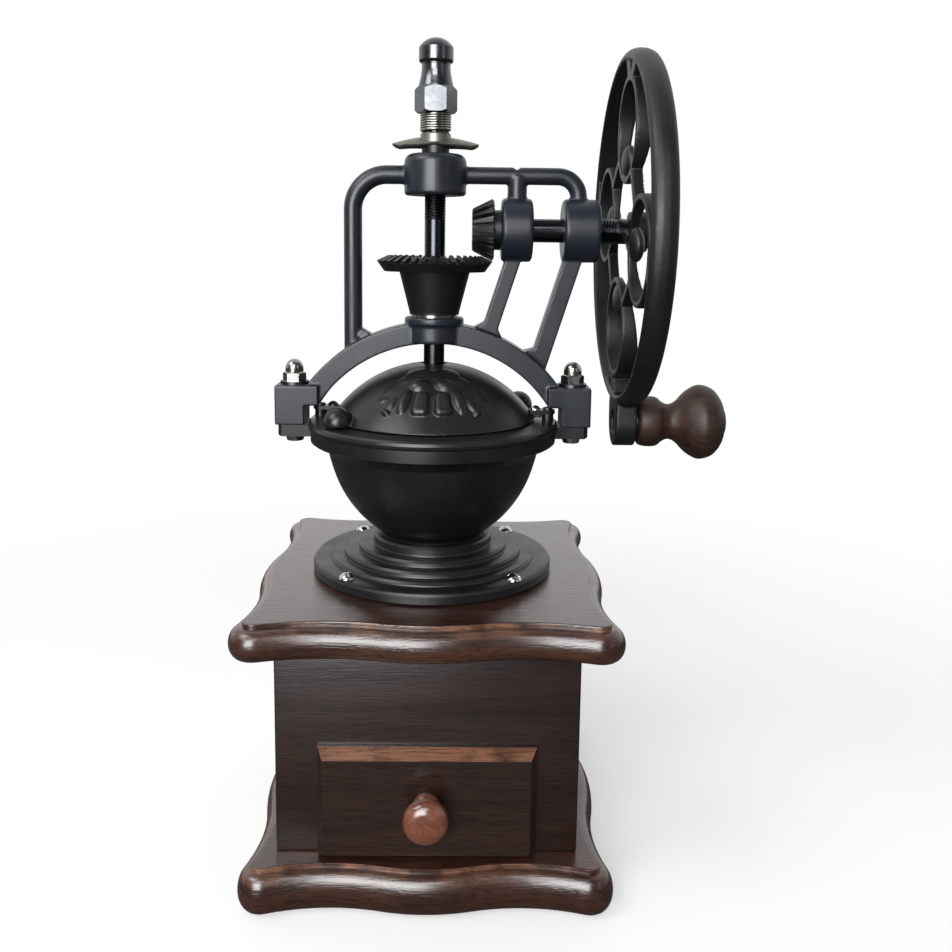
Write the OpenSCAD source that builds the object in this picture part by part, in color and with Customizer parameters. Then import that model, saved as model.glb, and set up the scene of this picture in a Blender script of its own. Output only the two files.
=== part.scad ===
// Wheel coffee grinder: a cast iron mill with a bevel drive and a spoked hand wheel,
// on a wooden box with a drawer. Millimetres, +Z up, the origin is the centre of the
// underside of the base board, and the drawer faces -Y.

/* [Wooden box] */
// Outer width and depth of the square box
box_w = 119; // [112:1:122]
// Height of the box walls
box_h = 84.2; // [78:0.2:92]
// Thickness of the box boards
board_t = 9; // [7:0.5:10]
// Thickness of the base board
base_t = 17.6; // [15:0.2:22]
// Width of the base board over its waves
base_w = 146.4; // [140:0.2:150]
// Depth of the base board over its waves
base_d = 153; // [148:0.5:156]
// Thickness of the top board
top_t = 14; // [13:0.2:19]
// Width of the top board over its waves
top_w = 149.4; // [144:0.2:156]
// Depth of the top board over its waves
top_d = 153; // [148:0.5:156]
// How far each wavy edge dips between its bulges
wave_depth = 4; // [4:0.5:6]
// Height of the small step that runs round the upper face of a board
step_h = 1.8; // [1:0.1:3]
// Width of the ledge outside that step
step_in = 5.2; // [4:0.1:8]
// Diameter of the chute hole through the top board
chute_d = 40; // [32:0.5:46]
// Distance of the screws under the base board from the middle of the side walls
base_screw_y = 38; // [30:1:44]

/* [Drawer] */
// Width of the drawer front where it meets the box
front_w = 85.6; // [80:0.2:92]
// Height of the drawer front
front_h = 44.5; // [38:0.5:50]
// Thickness of the drawer front
front_t = 7.5; // [6:0.5:10]
// Sloped border of the drawer front
front_slope = 2.6; // [1.5:0.1:4]
// Outer width of the drawer tray
tray_w = 76; // [70:0.5:78]
// Height of the drawer tray
tray_h = 36; // [28:0.5:38]
// Depth of the drawer tray behind its front
tray_d = 96; // [80:1:100]
// Thickness of the tray boards
tray_t = 6; // [4:0.5:8]
// Thickness of the tray floor
floor_t = 4; // [3:0.5:5]
// Running gap of the drawer on each side
drawer_gap = 0.6; // [0.4:0.1:1.5]
// Diameter of the turned drawer knob
pull_d = 17.5; // [14:0.5:24]
// Length of the turned drawer knob
pull_l = 14.5; // [11:0.5:20]

/* [Pedestal and bowl] */
// Diameter of the pedestal flange
flange_d = 103.8; // [98:0.2:110]
// Thickness of the pedestal flange
flange_t = 5.2; // [4:0.2:7]
// Height of the whole pedestal
pedestal_h = 15.4; // [14:0.2:19]
// Distance of the pedestal screws from the edge of the flange
screw_in = 3.8; // [3.5:0.1:5]
// Diameter of the screw heads on the flange
screw_head_d = 6.6; // [5:0.2:7.4]
// Length of the pedestal screws under their heads
screw_l = 16; // [12:0.5:17]
// Diameter of the shanks of the pedestal screws
screw_d = 3; // [2.6:0.1:3.4]
// Outer diameter of the bowl rim
rim_d = 107.4; // [102:0.2:112]
// Height of the bowl from the pedestal to the top of its rim
bowl_h = 50.7; // [46:0.1:56]
// Wall of the bowl
bowl_wall = 3.5; // [2.5:0.1:5]
// Height of the upright face of the rim
rim_h = 5.4; // [4:0.2:8]
// Distance of the two frame bolts from the axis
bolt_x = 60; // [58:0.2:62]
// Width of the ears and of the frame feet, front to back
foot_d = 18; // [15:0.5:22]
// Diameter of the frame bolts
bolt_d = 6; // [5:0.5:7]

/* [Lid] */
// Diameter of the domed lid at its foot
lid_d = 87.8; // [84:0.2:90]
// Height of the domed lid
lid_h = 23.8; // [20:0.2:26]
// Wall of the lid
lid_wall = 2.6; // [2:0.1:4]
// Gap between the two halves of the lid and under them
lid_gap = 0.4; // [0.3:0.1:1]
// Diameter of the two lid knobs
lid_knob_d = 12.5; // [12:0.5:16]
// Distance of the hinge pins from the axis
lid_pin_x = 49.3; // [48.8:0.1:49.8]
// Thickness of the hinge straps
strap_t = 1.6; // [1.2:0.1:2]

/* [Frame] */
// Height of the wheel shaft above the ground
shaft_z = 262.5; // [258:0.5:266]
// Inner radius of the arch over the lid
arch_r = 58.4; // [57:0.2:60]
// Thickness of the arch
arch_t = 8.9; // [7:0.1:11]
// Depth of the arch, front to back
arch_d = 14; // [10:0.5:17]
// Diameter of the round bars of the frame
bar_d = 7.8; // [6.5:0.1:9]
// Diameter of the two wheel shaft bosses
boss_d = 26.4; // [22:0.2:28]
// Length of the left wheel shaft boss
boss_a_l = 13; // [10:0.5:15]
// Length of the right wheel shaft boss
boss_b_l = 15.2; // [12:0.2:18]
// Diameter of the boss at the top of the frame
head_d = 26; // [22:0.5:29]
// Height of the boss at the top of the frame
head_h = 17; // [14:0.5:20]
// Diameter of the collar over the arch
collar_d = 25.2; // [22:0.2:28]

/* [Shafts and gears] */
// Diameter of the upright shaft
spindle_d = 8.8; // [8:0.1:10]
// Diameter of the wheel shaft between its bosses
axle_d = 9.8; // [8:0.1:10]
// Diameter of the wheel shaft outside the bosses
axle_big_d = 10.4; // [9.6:0.1:11]
// Radial gap of every shaft in its bore
run_gap = 0.05; // [0.03:0.01:0.08]
// Number of teeth of the small gear; the large one has twice as many
pinion_teeth = 18; // [16:1:20]
// Outer radius of the pitch line of the large gear
gear_r = 24; // [23:0.1:24.6]
// Length of the teeth of the large gear
gear_face = 4.9; // [4:0.1:6]
// Length of the teeth of the small gear
pinion_face = 9.4; // [8:0.1:10]
// Height of the teeth
tooth_h = 1.2; // [0.9:0.1:1.3]

/* [Adjuster] */
// Width of the hexagon of the cap nut, flat to flat
cap_hex = 15.4; // [14.4:0.2:17]
// Height of the cap nut
cap_h = 30.2; // [28:0.2:36]
// Diameter of the wire of the spring
wire_d = 1.1; // [0.9:0.05:1.15]
// Number of curls of the spring
curls = 4; // [3:1:4]
// Height of the spring
spring_h = 8.2; // [8:0.2:12]
// Span of the wing nut from tip to tip
wing_span = 36.4; // [30:0.2:42]

/* [Wheel and handle] */
// Outer diameter of the wheel
wheel_d = 148; // [140:0.5:152]
// Width of the rim along the axle
wheel_w = 10.4; // [10:0.2:13]
// Radial thickness of the rim
wheel_t = 4.4; // [4:0.1:6]
// Distance of the left face of the rim from the axis
wheel_x = 77.2; // [77:0.2:82]
// Thickness of the thin rings inside the rim
ring_w = 2.6; // [2:0.1:4]
// Depth of the thin rings along the axle
ring_deep = 8; // [5:0.2:8.6]
// Diameter of the round bud inside each ring
bud_d = 14; // [8:0.5:16]
// Turn of the rings about the axle
ring_turn = 11; // [-45:1:45]
// Turn of the handle lug from straight down
lug_turn = -3; // [-20:1:20]
// Distance of the handle beyond the rim of the wheel
handle_out = 6.8; // [6.4:0.1:9]
// Thickness of the handle lug
lug_t = 8.8; // [6:0.2:10]
// Largest diameter of the wooden handle
handle_d = 31.6; // [26:0.2:36]
// Length of the wooden handle
handle_l = 37.6; // [32:0.2:46]
// Diameter of the bolt that the handle turns on
handle_bolt_d = 6; // [5:0.5:7]
// Thickness of the washer between the lug and the handle
handle_washer_t = 1.2; // [0.8:0.1:2]

/* [Hidden] */
$fn = 64;

// Heights that follow from the sizes above
box_z = base_t;
top_z = base_t + box_h;
deck_z = top_z + top_t;
neck_z = deck_z + pedestal_h;
rim_z = neck_z + bowl_h;
rim_r = rim_d / 2;
ear_top_z = rim_z - 2.5;
ear_low_z = ear_top_z - rim_h + 0.4;
lid_z = rim_z + lid_gap;
lid_ball_r = ((lid_d / 2) * (lid_d / 2) + lid_h * lid_h) / (2 * lid_h);
lid_ball_z = lid_z + lid_h - lid_ball_r;
arch_z = shaft_z - 106.4;
foot_top_z = ear_top_z + 16.8;
foot_in_x = bolt_x - 11;
foot_out_x = bolt_x + 7.3;
notch_x = bolt_x - 5;
notch_z = ear_top_z + 8.2;
collar_z = arch_z + arch_r + arch_t + 2.2;
head_top_z = shaft_z + 31;
head_low_z = head_top_z - head_h;
bar_z = head_top_z - 8.6;
post_x = -34.6;
boss_a_x = 34.5;
boss_b_x = 61.5;
bend_a_r = 14.4;
bend_b_r = 8.6;
boss_a_left = boss_a_x - boss_a_l / 2;
boss_b_right = boss_b_x + boss_b_l / 2;

// Places that follow from the sizes above
screw_pitch = (flange_d / 2 - screw_in) * cos(45);
handle_r = wheel_d / 2 + handle_out;

// Lines along which the two gears mesh: depth under the wheel shaft at a radius x
mesh_slope = 0.47;
function mesh_depth(x) = 12.55 + mesh_slope * (x - gear_r) + (gear_r - 24) / 2;
gear_angle = atan(mesh_slope);

// A smooth line through a list of points, for turned and cast profiles
function smooth_at(a, b, c, d, t) =
    0.5 * ((2 * b) + (c - a) * t + (2 * a - 5 * b + 4 * c - d) * t * t
        + (3 * b - a - 3 * c + d) * t * t * t);
function smooth(p, n = 4) = [
    for (i = [0 : len(p) - 2])
        for (k = [0 : n - 1])
            smooth_at(p[max(i - 1, 0)], p[i], p[i + 1], p[min(i + 2, len(p) - 1)], k / n),
    p[len(p) - 1]
];

// Moves what is drawn along Z so that it runs along X from the point x on the wheel shaft
module on_axle(x = 0) {
    translate([x, 0, shaft_z])
        rotate([0, 90, 0])
            children();
}

// Puts one copy on each side of the axis, turned by half a turn
module both_sides() {
    children();
    rotate([0, 0, 180])
        children();
}

// A round bar between two points of the plane of the frame
module bar_between(a, b, d) {
    run = [b[0] - a[0], b[1] - a[1]];
    translate([a[0], 0, a[1]])
        rotate([0, atan2(run[0], run[1]), 0])
            cylinder(h = norm(run), d = d);
}

// A quarter bend of a round bar in the plane of the frame, opening from angle a
module bar_bend(x, z, r, a, d) {
    translate([x, 0, z])
        rotate([90, 0, 0])
            rotate([0, 0, a])
                rotate_extrude(angle = 90)
                    translate([r, 0])
                        circle(d = d);
}

// WOODEN BOARDS WITH WAVY EDGES

// Arcs of a wavy edge. Each side dips at the distance x from its middle, and the corner
// arc of radius k is the same for both sides that meet in it.
function arc_r(x) = (x * x + wave_depth * wave_depth) / (4 * wave_depth);
function corner_r(h, x) =
    let (m = h - x, q = 2 * (m + wave_depth),
         c = m * m - 2 * wave_depth * arc_r(x) + wave_depth * wave_depth)
    (q - sqrt(q * q - 4 * c)) / 2;
function dip_x(h, k) =
    2 * (h - k) - sqrt(4 * (h - k) * (h - k)
        - 2 * (k * k - 2 * (h + wave_depth) * k + h * h + wave_depth * wave_depth / 2));

// Section of the board's edge: how far it is inset from the outermost line at a height
foot_in = 4.4;
nose_part = 0.42;
nose_in = step_in - 0.9;
function edge_points(t) = concat(
    [for (i = [0 : 3]) let (a = 90 * i / 3)
        [foot_in * (1 - sin(a)), t * nose_part * (1 - cos(a))]],
    [for (i = [1 : 4]) let (a = 90 * i / 4)
        [nose_in * (1 - cos(a)), t * nose_part + (t * (1 - nose_part) - step_h) * sin(a)]],
    [[step_in, t - step_h], [step_in, t]]
);

// Points of an arc without its last one, which the next arc begins with
function arc_points(x, y, r, a0, a1, n) = [
    for (i = [0 : n - 1]) let (a = a0 + (a1 - a0) * i / n)
        [x + r * cos(a), y + r * sin(a)]
];

// One edge of the board, hx long to each side and hy in front of the axis, inset by g
function side_points(hx, hy, x, k, g) =
    let (r = arc_r(x), a = asin(x / (2 * r)), b = atan2(hx - k - x, r + k - wave_depth),
         y = wave_depth - hy - r)
    concat(
        arc_points(-x, y, r + g, 90 + b, 90 - a, 4),
        arc_points(0, r - hy, r - g, 270 - a, 270 + a, 6),
        arc_points(x, y, r + g, 90 + a, 90 - b, 4)
    );

// Half of the board's outline, from its front edge round to its back edge
function half_outline(w, d, g) =
    let (hx = w / 2, hy = d / 2, xf = hx / 2, k = corner_r(hx, xf), xs = dip_x(hy, k),
         bf = atan2(hx - k - xf, arc_r(xf) + k - wave_depth),
         bs = atan2(hy - k - xs, arc_r(xs) + k - wave_depth))
    concat(
        side_points(hx, hy, xf, k, g),
        arc_points(hx - k, k - hy, k - g, 270 - bf, 360 + bs, 8),
        [for (q = side_points(hy, hx, xs, k, g)) [-q[1], q[0]]],
        arc_points(hx - k, hy - k, k - g, -bs, 90 + bf, 8)
    );

module wavy_board(w, d, t) {
    edge = edge_points(t);
    rings = [for (q = edge) let (half = half_outline(w, d, q[0]))
        [for (s = [1, -1], c = half) [s * c[0], s * c[1], q[1]]]];
    n = len(rings[0]);
    m = len(rings) - 1;
    polyhedron(
        points = [for (ring = rings) each ring],
        faces = concat(
            [[for (i = [0 : n - 1]) i]],
            [for (j = [0 : m - 1], i = [0 : n - 1]) let (a = j * n + i, b = j * n + (i + 1) % n)
                each [[a, a + n, b], [b, a + n, b + n]]],
            [[for (i = [n - 1 : -1 : 0]) m * n + i]]
        )
    );
}

// The base screws: shank, countersunk head, how deep the head sits and how far the screw
// goes into the wall
base_screw_d = 3.6;
base_head_d = 7.6;
base_head_h = 2.2;
base_head_up = 0.8;
base_bite = 14;

module at_base_screws(z) {
    for (x = [-1, 1], y = [-1, 1])
        translate([x * (box_w - board_t) / 2, y * base_screw_y, z])
            children();
}

module base_board() {
    color("#3b2018")
    difference() {
        wavy_board(base_w, base_d, base_t);
        at_base_screws(-1) {
            cylinder(h = base_t + 2, d = base_screw_d + 0.4);
            cylinder(h = base_head_up + 1.2, d = base_head_d + 0.6);
            translate([0, 0, base_head_up + 1.2])
                cylinder(h = 2.1, d1 = base_head_d + 0.6, d2 = base_screw_d + 0.4);
        }
    }
}

// Wood screws from below that hold the walls on the base board
module base_screws() {
    color("silver")
    at_base_screws(base_head_up) {
        difference() {
            cylinder(h = base_head_h, d1 = base_head_d, d2 = base_screw_d);
            translate([-base_head_d, -0.5, -1])
                cube([2 * base_head_d, 1, 2]);
        }
        translate([0, 0, 1.5])
            cylinder(h = base_t + base_bite - base_head_up - 1.5, d = base_screw_d);
    }
}

module top_board() {
    color("#3b2018")
    translate([0, 0, top_z])
        difference() {
            wavy_board(top_w, top_d, top_t);
            translate([0, 0, -1])
                cylinder(h = top_t + 2, d = chute_d);
            for (x = [-1, 1], y = [-1, 1])
                translate([x * screw_pitch, y * screw_pitch, top_t - screw_l + flange_t - 0.5])
                    cylinder(h = screw_l, d = screw_d);
        }
}

// THE FOUR WALLS OF THE BOX

opening_w = tray_w + 2 * drawer_gap;
opening_h = tray_h + 2 * drawer_gap;

module box_front() {
    color("#4a281c")
    difference() {
        translate([-box_w / 2, -box_w / 2, box_z])
            cube([box_w, board_t, box_h]);
        translate([-opening_w / 2, -box_w / 2 - 1, box_z - 1])
            cube([opening_w, board_t + 2, opening_h + 1]);
    }
}

module box_back() {
    color("#4a281c")
    translate([-box_w / 2, box_w / 2 - board_t, box_z])
        cube([box_w, board_t, box_h]);
}

module side_wall() {
    difference() {
        translate([box_w / 2 - board_t, board_t - box_w / 2, box_z])
            cube([board_t, box_w - 2 * board_t, box_h]);
        at_base_screws(box_z - 1)
            cylinder(h = base_bite + 1, d = base_screw_d + 0.1);
    }
}

module box_right() {
    color("#4a281c")
    side_wall();
}

module box_left() {
    color("#4a281c")
    mirror([1, 0, 0])
        side_wall();
}

// DRAWER

front_y = -box_w / 2 - 0.2;
front_z = box_z + 0.5;
tray_z = box_z + drawer_gap;
tray_y = front_y;
pull_z = front_z + front_h / 2 + 1;

front_arris = 1.6;
pull_screw_d = 2.9;
pull_screw_head_d = 6.6;
rail_w = 5;
rail_h = 9;

module drawer_front() {
    w = front_w / 2;
    h = front_h / 2;
    c = front_slope;
    a = front_arris;
    color("#54301f")
    difference() {
        intersection() {
            translate([0, front_y, front_z - 1])
                linear_extrude(height = front_h + 2)
                    polygon([[-w, 0], [w, 0], [w, -a], [w - c, -front_t], [c - w, -front_t], [-w, -a]]);
            translate([-w - 1, front_y, front_z + h])
                rotate([90, 0, 90])
                    linear_extrude(height = front_w + 2)
                        polygon([[0, -h], [0, h], [-a, h], [-front_t, h - c], [-front_t, c - h], [-a, -h]]);
        }
        translate([0, front_y + 1, pull_z])
            rotate([90, 0, 0])
                cylinder(h = front_t + 2, d = pull_screw_d + 0.1);
        translate([0, front_y + 0.01, pull_z])
            rotate([90, 0, 0])
                cylinder(h = 2.2, d1 = pull_screw_head_d + 0.2, d2 = pull_screw_d + 0.1);
    }
}

module drawer_sides() {
    color("#8a5b3c")
    for (s = [-1, 1])
        translate([s * (tray_w - tray_t) / 2 - tray_t / 2, tray_y, tray_z])
            cube([tray_t, tray_d, tray_h]);
}

module drawer_back() {
    color("#8a5b3c")
    translate([tray_t - tray_w / 2, tray_y + tray_d - tray_t, tray_z + floor_t])
        cube([tray_w - 2 * tray_t, tray_t, tray_h - floor_t]);
}

module drawer_floor() {
    color("#8a5b3c")
    translate([tray_t - tray_w / 2, tray_y, tray_z])
        cube([tray_w - 2 * tray_t, tray_d, floor_t]);
}

// Strips on the base board that guide the drawer
module drawer_rails() {
    color("#6a4028")
    for (s = [-1, 1])
        translate([s * (opening_w + rail_w) / 2 - rail_w / 2, board_t - box_w / 2, box_z])
            cube([rail_w, box_w - 2 * board_t, rail_h]);
}

module drawer_knob() {
    r = pull_d / 2;
    l = pull_l;
    p = smooth([[r * 0.62, 0], [r * 0.6, l * 0.08], [r * 0.5, l * 0.25], [r * 0.62, l * 0.42],
        [r * 0.93, l * 0.55], [r, l * 0.7], [r * 0.9, l * 0.86], [r * 0.6, l * 0.97], [r * 0.2, l]], 3);
    color("#5d3524")
    translate([0, front_y - front_t, pull_z])
        rotate([90, 0, 0])
            difference() {
                rotate_extrude()
                    polygon(concat([[0, 0]], p, [[0, l]]));
                translate([0, 0, -1])
                    cylinder(h = l * 0.6 + 1, d = pull_screw_d + 0.1);
            }
}

module drawer_knob_screw() {
    color("silver")
    translate([0, front_y, pull_z])
        rotate([90, 0, 0]) {
            translate([0, 0, 0.05])
                cylinder(h = 2, d1 = pull_screw_head_d, d2 = pull_screw_d);
            translate([0, 0, 0.1])
                cylinder(h = front_t + pull_l * 0.55, d = pull_screw_d);
        }
}

// PEDESTAL AND BOWL

burr_r = 16.4;
burr_seat = 8.4;
burr_low_z = deck_z + burr_seat;
burr_h = 15;
bowl_screw_r = burr_r + 3;
bowl_screw_d = 3;
bowl_screw_l = 12;

// Puts one copy at each of the three screws that hold the bowl on the pedestal
module at_bowl_screws(z) {
    for (a = [30 : 120 : 270])
        rotate([0, 0, a])
            translate([bowl_screw_r, 0, z])
                children();
}

ring_top = [pedestal_h, pedestal_h - 4, pedestal_h - 6.4, flange_t + 1.5, flange_t];
ring_r = [flange_d / 2 - 26.1, flange_d / 2 - 19.7, flange_d / 2 - 13.4, flange_d / 2 - 7.8, flange_d / 2];

module pedestal() {
    color("#202226")
    difference() {
        translate([0, 0, deck_z])
            rotate_extrude($fn = 128)
                polygon(concat(
                    [[burr_r - 1.8, burr_seat], [burr_r - 1.8, 5], [19, 0], [ring_r[4] - 0.8, 0], [ring_r[4], 0.8],
                     [ring_r[4], flange_t - 1.4], [ring_r[4] - 0.5, flange_t - 0.4], [ring_r[4] - 1.5, flange_t]],
                    [for (i = [3 : -1 : 0])
                        each [[ring_r[i] + 0.2, ring_top[i + 1]], [ring_r[i], ring_top[i + 1] + 0.5],
                              [ring_r[i] - 0.15, ring_top[i] - 0.9], [ring_r[i] - 1, ring_top[i]]]],
                    [[burr_r + run_gap, ring_top[0]], [burr_r + run_gap, burr_seat]]));
        for (x = [-1, 1], y = [-1, 1])
            translate([x * screw_pitch, y * screw_pitch, deck_z - 1])
                cylinder(h = flange_t + 2, d = screw_d + 1.2);
        at_bowl_screws(neck_z - 9)
            cylinder(h = 10, d = bowl_screw_d + 0.1);
    }
}

// Round head screw, head up, its head seated at z = 0
module round_screw(head_d, head_h, shank_d, l, slot = true) {
    r = (head_d * head_d / 4 + head_h * head_h) / (2 * head_h);
    difference() {
        union() {
            intersection() {
                translate([0, 0, head_h - r])
                    sphere(r = r);
                cylinder(h = head_h + 1, d = head_d);
            }
            translate([0, 0, -l])
                cylinder(h = l + 0.2, d = shank_d);
        }
        if (slot)
            translate([-head_d, -0.4, head_h * 0.55])
                cube([2 * head_d, 0.8, head_h]);
    }
}

module pedestal_screws() {
    color("silver")
    for (x = [-1, 1], y = [-1, 1])
        translate([x * screw_pitch, y * screw_pitch, deck_z + flange_t])
            rotate([0, 0, 25 * x + 40 * y])
                round_screw(screw_head_d, 2.4, screw_d, screw_l);
}

// Outline of the bowl: heights are measured down from the top of the rim
bowl_out = [[rim_r - 1.1, -0.4], [rim_r - 0.3, -1.2], [rim_r, -2.3], [rim_r - 0.2, -3.4], [rim_r - 0.9, -4.1],
    [rim_r - 0.9, -3.6 - rim_h], [rim_r - 1.7, -4.2 - rim_h],
    [rim_r - 5.5, -rim_h - 5.2], [rim_r - 8.4, -rim_h - 8.6]];
bowl_side = smooth([[rim_r - 8.4, -rim_h - 8.6], [rim_r - 10.2, -20.5], [rim_r - 12.8, -27.5],
    [rim_r - 16.6, -34.5], [rim_r - 21.8, -41.2], [rim_r - 27.2, -46.2], [rim_r - 31.6, -bowl_h + 0.8]], 4);

floor_up = 4;
post_d = 5;
pin_d = 2.5;
hinge_y = -3.3;

module bowl() {
    color("#202226")
    difference() {
        union() {
            translate([0, 0, rim_z])
                rotate_extrude($fn = 128)
                    polygon(concat(
                        [[burr_r + 0.1, -bowl_h + floor_up], [burr_r + 0.1, -bowl_h]],
                        [[rim_r - 31.8, -bowl_h]],
                        [for (i = [len(bowl_side) - 1 : -1 : 0]) bowl_side[i]],
                        [for (i = [len(bowl_out) - 2 : -1 : 0]) bowl_out[i]],
                        [[lid_d / 2 + 0.6, 0], [rim_r - 8.4 - bowl_wall, 0]],
                        [for (q = smooth([[rim_r - 8.4 - bowl_wall, -13], [rim_r - 10.2 - bowl_wall, -20.5],
                            [rim_r - 13 - bowl_wall, -27], [rim_r - 17 - bowl_wall, -33.6],
                            [rim_r - 22.4 - bowl_wall, -39.4], [rim_r - 27.8, -bowl_h + floor_up + 1.6],
                            [rim_r - 29.2, -bowl_h + floor_up]], 4)) q]));
            // the two ears that carry the frame
            both_sides()
                intersection() {
                    translate([rim_r - 5, -foot_d / 2 + 0.5, ear_low_z])
                        cube([foot_out_x - rim_r + 4.6, foot_d - 1, ear_top_z - ear_low_z]);
                    translate([bolt_x - 8, 0, ear_low_z])
                        cylinder(h = 40, r = 15.1);
                }
            // posts for the hinge straps
            both_sides()
                translate([lid_pin_x, hinge_y, rim_z - 3])
                    cylinder(h = strap_z - rim_z + 3, d = post_d);
        }
        both_sides() {
            translate([bolt_x, 0, ear_low_z - 1])
                cylinder(h = 10, d = bolt_d + 0.2);
            translate([lid_pin_x, hinge_y, rim_z - pin_d])
                cylinder(h = 12, d = pin_d + 2 * run_gap);
        }
        at_bowl_screws(neck_z - 1)
            cylinder(h = 10, d = bowl_screw_d + 0.6);
    }
}

module bowl_screws() {
    color("silver")
    at_bowl_screws(neck_z + floor_up)
        round_screw(5.6, 2, bowl_screw_d, bowl_screw_l);
}

// BURRS

module outer_burr() {
    color("#6b6d70")
    translate([0, 0, burr_low_z])
        difference() {
            cylinder(h = burr_h, r = burr_r);
            translate([0, 0, -1])
                cylinder(h = burr_h + 2, r1 = burr_r - 1.5, r2 = burr_r - 4.3);
            for (a = [0 : 20 : 340])
                rotate([0, 0, a])
                    translate([burr_r - 4.1, 0, -1])
                        rotate([0, -8, 0])
                            cylinder(h = burr_h + 3, d = 1.7, $fn = 16);
        }
}

module inner_burr() {
    color("#6b6d70")
    translate([0, 0, burr_low_z - 0.4])
        difference() {
            cylinder(h = burr_h + 3, r1 = burr_r - 2.3, r2 = burr_r - 8.2);
            translate([0, 0, -1])
                cylinder(h = burr_h + 6, d = spindle_d + 2 * run_gap);
            for (a = [0 : 45 : 315])
                rotate([0, 0, a])
                    translate([burr_r - 2, 0, -1])
                        rotate([0, -19, 14])
                            cylinder(h = burr_h + 6, d = 2.6, $fn = 16);
        }
}

module burr_nut() {
    color("#3a3b3e")
    translate([0, 0, burr_low_z - 0.4 - 5])
        difference() {
            cylinder(h = 5, d = 15, $fn = 6);
            translate([0, 0, -1])
                cylinder(h = 7, d = spindle_d + 2 * run_gap);
        }
}

// LID IN TWO HALVES

lug_z = lid_z + 1;
strap_z = lug_z + 1.4;
lid_screw_x = 43.9;
lid_screw_d = 2.3;

// Raised rib on the dome, side degrees from its middle and from one height to another
module dome_rib(side, low, high, d, rise) {
    r = lid_ball_r - d / 2 + rise;
    rotate([0, 0, side])
        translate([0, 0, lid_ball_z])
            for (k = [0 : 3])
                let (a = low + (high - low) * k / 3)
                    rotate([-a, 0, 0])
                        translate([0, -r, 0])
                            sphere(d = d * (1 - 0.06 * k), $fn = 48);
}

// Raised palmette on the face of each half
module lid_relief() {
    for (s = [-1, 1]) {
        dome_rib(s * 8, 41, 47, 8.2, 0.9);
        dome_rib(s * 9, 54, 62, 6.6, 0.8);
        dome_rib(s * 24, 40, 49, 6.6, 0.8);
        dome_rib(s * 38, 39, 45, 5.4, 0.7);
        dome_rib(s * 27, 56, 60, 5, 0.6);
    }
}

module lid_half() {
    difference() {
        union() {
            intersection() {
                difference() {
                    translate([0, 0, lid_ball_z])
                        sphere(r = lid_ball_r, $fn = 128);
                    translate([0, 0, lid_ball_z])
                        sphere(r = lid_ball_r - lid_wall, $fn = 128);
                }
                translate([-lid_d, -lid_d - lid_gap / 2, lid_z])
                    cube([2 * lid_d, lid_d, lid_h + 1]);
            }
            lid_relief();
            // flat lug under the hinge strap
            translate([lid_d / 2 - 5.2, -6.5, lug_z])
                cube([7.8, 6.3 - lid_gap / 2, strap_z - lug_z]);
            // knob at the other end
            intersection() {
                translate([-38.4, -25, lid_z + 1.4])
                    sphere(d = lid_knob_d);
                translate([-60, -60, lid_z])
                    cube([60, 60 - lid_gap / 2, 20]);
            }
        }
        translate([0, 0, lid_z])
            cylinder(h = lid_h + 2, d = spindle_d + 1.6);
        // hollow under the knob follows the inside of the dome
        translate([0, 0, lid_ball_z])
            sphere(r = lid_ball_r - lid_wall, $fn = 128);
        translate([lid_screw_x, hinge_y, lug_z - 1])
            cylinder(h = 5, d = lid_screw_d + 0.1);
    }
}

module lid_front_half() {
    color("#1d1e21")
    lid_half();
}

module lid_rear_half() {
    color("#1d1e21")
    rotate([0, 0, 180])
        lid_half();
}

module strap() {
    translate([0, hinge_y, strap_z])
        difference() {
            union() {
                translate([lid_pin_x, 0, 0])
                    cylinder(h = strap_t, d = 6.2);
                translate([lid_d / 2 - 2.4, -3.1, 0])
                    cube([lid_pin_x - lid_d / 2 + 2.4, 6.2, strap_t]);
            }
            translate([lid_pin_x, 0, -1])
                cylinder(h = strap_t + 2, d = pin_d + 2 * run_gap);
            translate([lid_screw_x, 0, -1])
                cylinder(h = strap_t + 2, d = lid_screw_d + 0.3);
            // rounded to clear the dome
            translate([0, -hinge_y, lid_ball_z - strap_z])
                sphere(r = lid_ball_r + 0.05, $fn = 128);
        }
}

module lid_front_strap() {
    color("#26272a")
    strap();
}

module lid_rear_strap() {
    color("#26272a")
    rotate([0, 0, 180])
        strap();
}

module lid_screw() {
    translate([lid_screw_x, hinge_y, strap_z + strap_t])
        round_screw(2 * lid_screw_d, 1.8, lid_screw_d, 3.2);
}

module lid_front_screw() {
    color("silver")
    lid_screw();
}

module lid_rear_screw() {
    color("silver")
    rotate([0, 0, 180])
        lid_screw();
}

module lid_hinge_pins() {
    color("#26272a")
    both_sides()
        translate([lid_pin_x, hinge_y, 0]) {
            translate([0, 0, rim_z - pin_d])
                cylinder(h = strap_z + strap_t + 0.1 - rim_z + pin_d, d = pin_d);
            translate([0, 0, strap_z + strap_t + 0.1])
                cylinder(h = 0.8, d = pin_d + 1.7);
        }
}

// FRAME

module frame_foot() {
    difference() {
        translate([foot_in_x, -foot_d / 2, ear_top_z])
            cube([foot_out_x - foot_in_x, foot_d, foot_top_z - ear_top_z]);
        translate([foot_in_x - 1, -foot_d, ear_top_z - 1])
            cube([notch_x - foot_in_x + 1, 2 * foot_d, notch_z - ear_top_z + 1]);
    }
}

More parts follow.
